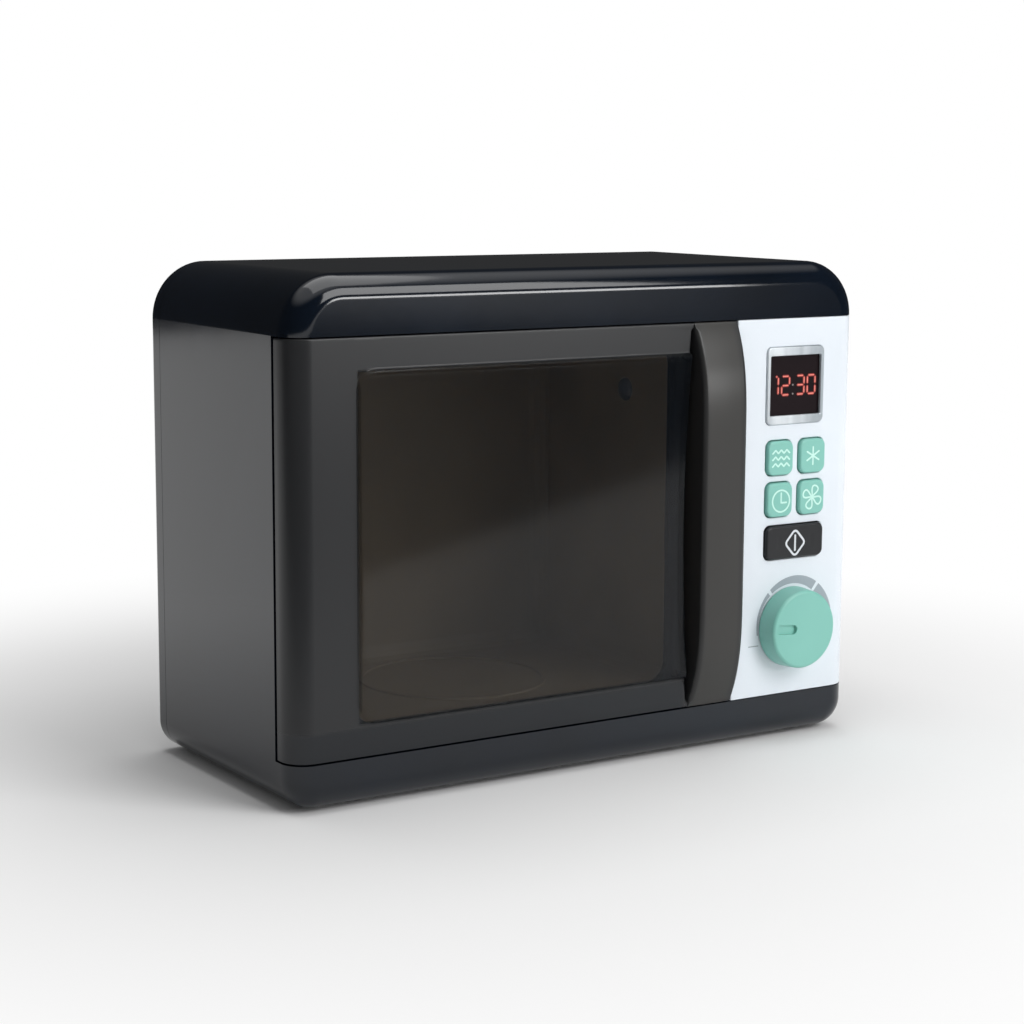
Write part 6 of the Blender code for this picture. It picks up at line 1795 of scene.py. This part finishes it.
@dataclass(frozen=True)
class KeyMat:
    """The silicone mat behind the keys: a sheet, and a hollow dome that flattens under each key."""

    body: Body
    controls: Controls
    back: float = 9.0 * MM
    thickness: float = 1.2 * MM
    margin: float = 3.2 * MM
    dome_radius: float = 5.0 * MM
    dome_top: float = 3.6 * MM
    dome_height: float = 2.5 * MM
    skin: float = 1.2 * MM
    edge: float = 0.3 * MM
    travel: float = 1.5 * MM
    sides: int = 32

    def sheet(self, centres: Array) -> Mesh:
        """The flat sheet, with a hole under each dome.

        Args:
            centres: The domes' centres.

        Returns:
            The mesh.
        """
        reach = self.dome_radius + self.margin
        low, high = centres.min(0) - reach, centres.max(0) + reach
        back = self.body.front + self.back
        outline = rounded_corners(low, high, (self.margin,) * 4, 8)
        radius = self.dome_radius - self.skin / 2
        start, end = back - self.thickness - OVERRUN, back + OVERRUN
        holes = [rod_along_y("hole", centre, start, end, radius) for centre in centres]
        sheet = front_prism("sheet", outline, back - self.thickness, back)
        return carve(sheet, [(CUT, merged("holes", holes))])

    def dome(self, centre: Array) -> Mesh:
        """One hollow dome: out under its skin, down its inside, up its wall and over its shoulder.

        Args:
            centre: Its centre (x, z).

        Returns:
            The mesh.
        """
        insets, drops = quarter_edge(self.edge, 5)
        height = self.thickness + self.dome_height
        inner, ceiling = self.dome_radius - self.skin, height - self.skin
        points = [(0, ceiling), (self.dome_top - self.skin, ceiling), (inner, self.thickness), (inner, 0)]
        points += [(self.dome_radius, 0), (self.dome_radius, self.thickness)]
        points += [(self.dome_top - i, height - d) for i, d in zip(insets[::-1], drops[::-1])]
        points.append((0, height))
        place = facing((0, -1, 0), (centre[0], self.body.front + self.back, centre[1]))
        return turned("dome", np.array(points), place, self.sides)

    def build(self) -> None:
        """Places the sheet and the domes, each dome with a mesh of its own."""
        controls = self.controls
        centres = {icon.value: controls.key_centre(*step) for icon, step in Keys.PLACES.items()}
        centres["start"] = controls.start_centre
        sheet = self.sheet(np.array(list(centres.values())))
        place_piece("mat_sheet", sheet, Palette.SILICONE, "housing", ["keypad_mat"])
        for key, (x, z) in centres.items():
            mesh = self.dome(np.array([x, z]))
            dome = place_piece(f"{key}_dome", mesh, Palette.SILICONE, "housing", ())
            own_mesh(dome)


@dataclass(frozen=True)
class Knob:
    """The mint click knob, its pointer slot and the printed scale round it."""

    body: Body
    controls: Controls
    base_radius: float = 21.0 * MM
    face_radius: float = 20.4 * MM
    proud: float = 12.0 * MM
    lift: float = 0.6 * MM
    edge: float = 1.8 * MM
    wall: float = 2.0 * MM
    stem_radius: float = 4.0 * MM
    stem_end: float = 12.6 * MM
    slot_length: float = 13.6 * MM
    slot_width: float = 5.0 * MM
    slot_depth: float = 1.8 * MM
    slot_outer_depth: float = 1.3 * MM
    slot_outer_end: float = 18.4 * MM
    slot_turn: float = 5.0
    slot_edge: float = 0.4 * MM
    base_edge: float = 0.3 * MM
    sides: int = 96
    scale_offset: Pair = (0.8 * MM, 0.4 * MM)
    scale_inner: float = 21.9 * MM
    scale_outer: float = 25.1 * MM
    scale_shift: Pair = (2.2 * MM, 0.8 * MM)
    scale_hours: tuple[Pair, ...] = ((-3.3, -1.35), (-1.20, 1.25), (1.39, 3.3))
    tick_ends: Pair = (97.4 * MM, 103.7 * MM)
    tick_z: float = 51.2 * MM
    tick_width: float = 0.5 * MM

    def profile(self) -> Array:
        """Radius and height: round the stem, out under the face, down the wall, over the edge.

        Returns:
            The points.
        """
        depth = self.proud - self.lift
        ceiling = depth - self.slot_depth - self.wall
        inner = self.face_radius - self.wall
        insets, drops = quarter_edge(self.edge, 10)
        points = [(0, -self.stem_end - self.lift), (self.stem_radius, -self.stem_end - self.lift)]
        points += [(self.stem_radius, ceiling), (inner, ceiling), (inner, 0)]
        points += [(self.base_radius - self.base_edge, 0), (self.base_radius, self.base_edge)]
        points += [(self.face_radius - i, depth - d) for i, d in zip(insets[::-1], drops[::-1])]
        points += [(self.face_radius * share, depth) for share in (0.6, 0.3, 0)]
        return np.array(points)

    def slot_tool(self) -> Mesh:
        """A capsule whose floor sinks from the rim towards the centre, turned to where it points.

        Returns:
            The mesh.
        """
        radius = self.slot_width / 2
        start = -self.slot_outer_end
        high = (start + self.slot_length, radius)
        outline = rounded_corners((start, -radius), high, (radius * ROUND_END,) * 4, 10)
        share = (outline[:, 0] - start) / self.slot_length
        turn = math.radians(self.slot_turn)
        across = np.array([[math.cos(turn), -math.sin(turn)], [math.sin(turn), math.cos(turn)]])
        outline = outline @ across + self.controls.knob_centre
        face = self.body.front - self.proud
        floor = face + self.slot_outer_depth + (self.slot_depth - self.slot_outer_depth) * share
        return loft("slot", np.stack([on_front(outline, face - OVERRUN), on_front(outline, floor)]))

    def band(self, start: float, end: float) -> Mesh:
        """A printed part of the scale, between a circle round the knob and a larger one set off from it.

        The larger one has radius R and its centre is moved by s. In the direction w it is s.w +
        sqrt(R^2 - s.s + (s.w)^2) away from the smaller one's centre.

        Args:
            start: Clock angle of its start, in hours.
            end: Clock angle of its end, in hours.

        Returns:
            The mesh.
        """
        angle = np.radians(30.0) * np.linspace(start, end, 48)
        way = np.stack([np.sin(angle), np.cos(angle)], -1)
        shift = np.array(self.scale_shift)
        along = way @ shift
        reach = along + np.sqrt(self.scale_outer**2 - shift @ shift + along**2)
        centre = np.array(self.controls.knob_centre) + self.scale_offset
        inner, outer = centre + way * self.scale_inner, centre + way * reach[:, None]
        return loft("band", ink_rings(inner, outer, self.body.front))

    def build(self) -> None:
        """Places the knob and its scale."""
        x, z = self.controls.knob_centre
        place = facing((0, -1, 0), (x, self.body.front - self.lift, z))
        solid = turned("knob", self.profile(), place, self.sides)
        mesh = carve(solid, [(CUT, self.slot_tool())], self.slot_edge)
        place_piece("knob_skin", mesh, Palette.MINT, "timer_knob", ["knob"])
        bands = [self.band(*hours) for hours in self.scale_hours]
        tick = np.stack([np.linspace(*self.tick_ends, 5), np.full(5, self.tick_z)], -1)
        bands.append(stroke(tick, self.tick_width, self.body.front))
        place_piece("knob_scale", merged("scale", bands), Palette.SCALE_INK, "housing")


@dataclass(frozen=True)
class RearCover:
    """The back: vents, speaker holes, screw wells and the battery bay."""

    body: Body
    edge_radius: float = 0.4 * MM
    vent_columns: Pair = (-80.0 * MM, -10.0 * MM)
    vent_z: float = 150.0 * MM
    vent_count: int = 7
    vent_pitch: float = 8.0 * MM
    vent_size: Pair = (46.0 * MM, 3.0 * MM)
    speaker: Pair = (113.0 * MM, 170.0 * MM)
    hole_radius: float = 1.6 * MM
    hole_pitch: float = 5.6 * MM
    well_radius: float = 3.4 * MM
    well_depth: float = 7.0 * MM
    bay_low: Pair = (97.45 * MM, 43.15 * MM)
    bay_high: Pair = (128.55 * MM, 100.85 * MM)
    bay_depth: float = 18.0 * MM
    bay_wall: float = 1.8 * MM
    hatch_depth: float = 2.3 * MM
    hatch_low: Pair = (93.65 * MM, 28.85 * MM)
    hatch_high: Pair = (132.35 * MM, 104.65 * MM)

    def vents(self) -> list[Mesh]:
        """Two columns of round-ended slots.

        Returns:
            The meshes.
        """
        body = self.body
        start, end = body.rear - body.wall - OVERRUN, body.rear + OVERRUN
        half = np.array(self.vent_size) / 2
        slots = []
        for x in self.vent_columns:
            for i in range(self.vent_count):
                z = self.vent_z + (i - (self.vent_count - 1) / 2) * self.vent_pitch
                centre = np.array([x, z])
                outline = rounded_corners(centre - half, centre + half, (half[1] * ROUND_END,) * 4, 6)
                slots.append(front_prism("vent", outline, start, end))
        return slots

    def round_holes(self) -> list[Mesh]:
        """The speaker's holes on rings of 6 and 12, and a well and a bore for each cover screw.

        Returns:
            The meshes.
        """
        body = self.body
        start, end = body.rear - body.wall - OVERRUN, body.rear + OVERRUN
        holes = [(self.speaker, self.hole_radius, start)]
        for ring in (1, 2):
            for place in circle(self.speaker, ring * self.hole_pitch, 6 * ring):
                holes.append((place, self.hole_radius, start))
        for place in body.screw_places():
            holes.append((place, self.well_radius, body.rear - self.well_depth))
        return [rod_along_y("hole", place, start, end, radius, 24) for place, radius, start in holes]

    def bay(self, grow: float) -> list[Mesh]:
        """The battery bay and the hatch's seat, grown by a wall for their outside.

        Args:
            grow: How much.

        Returns:
            The meshes.
        """
        body = self.body
        end = body.rear + OVERRUN if not grow else body.rear - body.wall / 2
        boxes = {
            "bay": (self.bay_low, self.bay_high, self.bay_depth),
            "seat": (self.hatch_low, self.hatch_high, self.hatch_depth),
        }
        return [
            box_mesh(
                name,
                (low[0] - grow, body.rear - depth - grow, low[1] - grow),
                (high[0] + grow, end, high[1] + grow),
            )
            for name, (low, high, depth) in boxes.items()
        ]

    def build(self) -> None:
        """Carves the cover and places it."""
        body = self.body
        start = body.split + body.seat_gap
        tools = [
            (CUT, loft("inside", body.cap(body.wall, start - OVERRUN))),
            (JOIN, body.screw_posts(start, body.rear - body.wall / 2)),
        ]
        tools += [(JOIN, part) for part in self.bay(self.bay_wall)]
        tools += [(CUT, part) for part in self.bay(0.0)]
        tools.append((CUT, merged("vents", self.vents())))
        tools.append((CUT, merged("round holes", self.round_holes())))
        mesh = carve(loft("cover", body.cap(0.0, start)), tools, self.edge_radius)
        place_piece("cover_skin", mesh, Palette.HOUSING, "housing", ["rear_cover"])


@dataclass(frozen=True)
class InnerParts:
    """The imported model's own nodes that stay shown, each with its finish."""

    frame: dict[str, object] = field(repr=False)

    FINISHES = {
        "battery_cover": Palette.HOUSING,
        "cavity_liner": Palette.CAVITY,
        "ratchet_wheel": Palette.ACETAL,
        "click_spring": Palette.NICKEL,
        "circuit_board": Palette.BOARD,
        "sound_chip": Palette.EPOXY,
        "cavity_led": Palette.LAMP,
        "led_lens": Palette.LENS,
        "speaker_frame": Palette.ZINC,
        "speaker_cone": Palette.PAPER,
        "battery_": Palette.SLEEVE,
        "contact_": Palette.NICKEL,
        "battery_lead_red": Palette.RED_LEAD,
        "battery_lead_black": Palette.BLACK_LEAD,
        "speaker_lead": Palette.GREY_LEAD,
        "led_lead": Palette.BLUE_LEAD,
    }

    def finish_of(self, name: str) -> Finish:
        """The finish of a node by the longest start of its name that is listed, or zinc for a screw.

        Args:
            name: The node's name.

        Returns:
            Its finish.
        """
        matches = [start for start in self.FINISHES if name.startswith(start)]
        if "screw" in name or not matches:
            return Palette.ZINC
        return self.FINISHES[max(matches, key=len)]

    def build(self) -> None:
        """Gives each shown node its finish."""
        for node in [node for node in self.frame["nodes"].values() if not node.hide_render]:
            finish = self.finish_of(node.name)
            node.data.materials.clear()
            node.data.materials.append(finish.material())
            LOG.info("%s: %s", node.name, finish.name)


@dataclass(frozen=True)
class Lamp:
    """A soft rectangular lamp that faces the object."""

    name: str
    place: Triple
    size: Pair
    power: float
    target: Triple = (0.0, 0.0, 0.12)

    def build(self) -> None:
        """Adds the lamp."""
        data = bpy.data.lights.new(self.name, "AREA")
        data.shape = "RECTANGLE"
        data.size, data.size_y = self.size
        data.energy = self.power
        obj = add_object(self.name, data)
        obj.location = self.place
        way = Vector(self.target) - Vector(self.place)
        obj.rotation_euler = way.to_track_quat("-Z", "Y").to_euler()


@dataclass(frozen=True)
class Studio:
    """Floor, dark cloth, lamps, world and camera."""

    floor_radius: float = 3.0
    floor_points: int = 96
    floor_colour: str = "#ffffff"
    fade_start: float = 0.16
    fade_end: float = 0.56
    cloth_colour: str = "#202224"
    cloth_distance: float = 0.41
    camera_place: Triple = (-0.6267, -0.9638, 0.2980)
    azimuth: float = -32.89
    elevation: float = 8.79
    roll: float = 0.31
    lens: float = 79.8
    fill: float = 0.22
    horizon: float = 0.035
    # What reflections see, by the elevation of their direction in degrees: the sky from where it
    # starts to where it is white, and the pale wall's lower and upper edge.
    sky_rise: Pair = (40.0, 60.0)
    wall_foot: Pair = (-5.2, -3.9)
    wall_head: Pair = (1.5, 0.5)
    # The wall fades out by the direction's part along X and along Y.
    wall_side: Pair = (0.70, 0.50)
    wall_front: Pair = (0.0, -0.3)
    lamps: tuple[Lamp, ...] = (
        Lamp("key lamp", (0.55, -1.35, 1.1), (1.0, 0.8), 12.4),
        Lamp("top lamp", (0.1, 0.0, 1.6), (1.6, 1.2), 11.0),
        Lamp("strip lamp", (0.75, -1.37, 0.38), (0.6, 0.18), 4.4),
    )

    def back(self) -> Vector:
        """The way from the object to the camera.

        Returns:
            A unit vector.
        """
        azimuth, elevation = math.radians(self.azimuth), math.radians(self.elevation)
        level = math.cos(elevation)
        return Vector((math.sin(azimuth) * level, -math.cos(azimuth) * level, math.sin(elevation)))

    def seen_directly(self, tree: Tree) -> Socket:
        """A share of 1 for camera, glossy and transmission rays, and 0 for the light on the object.

        Args:
            tree: The node tree to add it to.

        Returns:
            The socket that gives the share.
        """
        path = add_node(tree, "LightPath")
        total = path.outputs["Is Camera Ray"]
        for name in ("Is Glossy Ray", "Is Transmission Ray"):
            links = {0: total, 1: path.outputs[name]}
            total = add_node(tree, "Math", {"operation": "MAXIMUM"}, links).outputs[0]
        return total

    def floor(self) -> None:
        """A wide pale floor that keeps the object's shadow and fades to the white backdrop."""
        rim = circle((0, 0), self.floor_radius, self.floor_points)
        mesh = mesh_from("floor", on_plan(rim, 0.0), [list(range(self.floor_points))])
        material, tree, shader = add_material("pale studio floor")
        colour = linear(self.floor_colour)
        set_inputs(shader, {"Base Color": colour, "Roughness": 0.9, "Specular IOR Level": 0.1})
        place = add_node(tree, "TexCoord").outputs["Object"]
        away = add_node(tree, "VectorMath", {"operation": "LENGTH"}, {0: place})
        ends = {"interpolation_type": "SMOOTHSTEP", "From Min": self.fade_start, "From Max": self.fade_end}
        share = add_node(tree, "MapRange", ends, {"Value": away.outputs["Value"]})
        glow = add_node(tree, "Emission", {"Color": (1.0, 1.0, 1.0, 1.0), "Strength": 1.0})
        seen = self.seen_directly(tree)
        fade = add_node(tree, "Math", {"operation": "MULTIPLY"}, {0: share.outputs["Result"], 1: seen})
        surfaces = {0: fade.outputs[0], 1: shader.outputs["BSDF"], 2: glow.outputs["Emission"]}
        mix = add_node(tree, "MixShader", {}, surfaces)
        tree.links.new(mix.outputs["Shader"], tree.nodes["Material Output"].inputs["Surface"])
        self.stage(mesh, material)

    def cloth(self) -> None:
        """A dark cloth on the floor before the camera, which only reflections see.

        It lies a little nearer the camera than the lower edge of the picture.
        """
        level = Vector((self.back().x, self.back().y, 0)).normalized()
        side = Vector((-level.y, level.x, 0))
        near, far = level * self.cloth_distance, level * self.floor_radius
        reach = side * self.floor_radius
        lift = Vector((0, 0, MM))
        points = [near - reach + lift, near + reach + lift, far + reach + lift, far - reach + lift]
        mesh = mesh_from("cloth", np.array(points), [(0, 1, 2, 3)])
        material, _, shader = add_material("dark studio cloth")
        set_inputs(shader, {"Base Color": linear(self.cloth_colour), "Roughness": 1.0})
        obj = self.stage(mesh, material)
        obj.visible_camera = obj.visible_diffuse = obj.visible_shadow = obj.visible_transmission = False

    def stage(self, mesh: Mesh, material: bpy.types.Material) -> Object:
        """Links a staged object of one material and returns it.

        Args:
            mesh: Its mesh.
            material: Its material.

        Returns:
            The object.
        """
        mesh.materials.append(material)
        obj = add_object(mesh.name, mesh)
        return obj

    def world(self) -> None:
        """A white backdrop for the camera, and a grey fill for the light on the object.

        Reflections see a white sky high up, a pale wall low in front of the toy and a dark room
        elsewhere. A direction's part along Z is the sine of its elevation.
        """
        world = bpy.data.worlds.new("studio")
        bpy.context.scene.world = world
        world.use_nodes = True
        tree = world.node_tree
        background = tree.nodes["Background"]
        background.inputs["Color"].default_value = (1.0, 1.0, 1.0, 1.0)
        way = add_node(tree, "TexCoord").outputs["Generated"]
        parts = add_node(tree, "SeparateXYZ", {}, {"Vector": way})

        def step(axis: str, ends: Pair, low: float = 0.0) -> Socket:
            """A smooth step of a direction's part along an axis.

            Args:
                axis: The axis.
                ends: Where the step starts and ends.
                low: Its value at the start. It is 1 at the end.

            Returns:
                The socket that gives the step.
            """
            ranges = {"From Min": ends[0], "From Max": ends[1], "To Min": low, "To Max": 1.0}
            ranges["interpolation_type"] = "SMOOTHSTEP"
            node = add_node(tree, "MapRange", ranges, {"Value": parts.outputs[axis]})
            return node.outputs["Result"]

        sky_rise, foot, head = (
            tuple(math.sin(math.radians(angle)) for angle in angles)
            for angles in (self.sky_rise, self.wall_foot, self.wall_head)
        )
        sky = step("Z", sky_rise, self.horizon)
        wall = step("X", self.wall_side)
        for edge in (step("Y", self.wall_front), step("Z", foot), step("Z", head)):
            wall = add_node(tree, "Math", {"operation": "MULTIPLY"}, {0: wall, 1: edge}).outputs[0]
        room = add_node(tree, "Math", {"operation": "MAXIMUM"}, {0: sky, 1: wall})
        light = {0: self.seen_directly(tree), 3: room.outputs[0]}
        lit = add_node(tree, "Mix", {"data_type": "FLOAT", 2: self.fill}, light)
        view = {0: add_node(tree, "LightPath").outputs["Is Camera Ray"], 2: lit.outputs[0]}
        whole = add_node(tree, "Mix", {"data_type": "FLOAT", 3: 1.0}, view)
        tree.links.new(whole.outputs[0], background.inputs["Strength"])

    def camera(self) -> None:
        """The camera at the photograph's view."""
        back, roll = self.back(), math.radians(self.roll)
        right = (-back).cross(Vector((0, 0, 1))).normalized()
        tilted = right * math.cos(roll) + back.cross(right) * math.sin(roll)
        data = bpy.data.cameras.new("camera")
        data.lens = self.lens
        data.sensor_width = 36.0
        data.clip_start, data.clip_end = 0.05, 30.0
        obj = add_object("camera", data)
        axes = Matrix((tilted, back.cross(tilted), back)).transposed()
        obj.matrix_world = Matrix.Translation(self.camera_place) @ axes.to_4x4()
        bpy.context.scene.camera = obj

    def build(self) -> None:
        """Sets up the whole studio."""
        self.floor()
        self.cloth()
        self.world()
        for lamp in self.lamps:
            lamp.build()
        self.camera()
        bpy.context.scene.view_settings.view_transform = "Standard"
        LOG.info("studio: floor, cloth, world, %d lamps and the camera", len(self.lamps))


def main() -> None:
    """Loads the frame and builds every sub-assembly in order."""
    logging.basicConfig(level=logging.INFO, format="%(name)s: %(message)s")
    for obj in list(bpy.data.objects):
        bpy.data.objects.remove(obj)
    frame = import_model()
    body = Body()
    housing = Housing(body)
    controls = Controls(body)
    for part in (
        housing,
        Door(body, housing),
        Panel(body, controls),
        Display(body, controls),
        Keys(body, controls),
        KeyMat(body, controls),
        Knob(body, controls),
        RearCover(body),
        InnerParts(frame),
        Studio(),
    ):
        part.build()


if __name__ == "__main__":
    main()
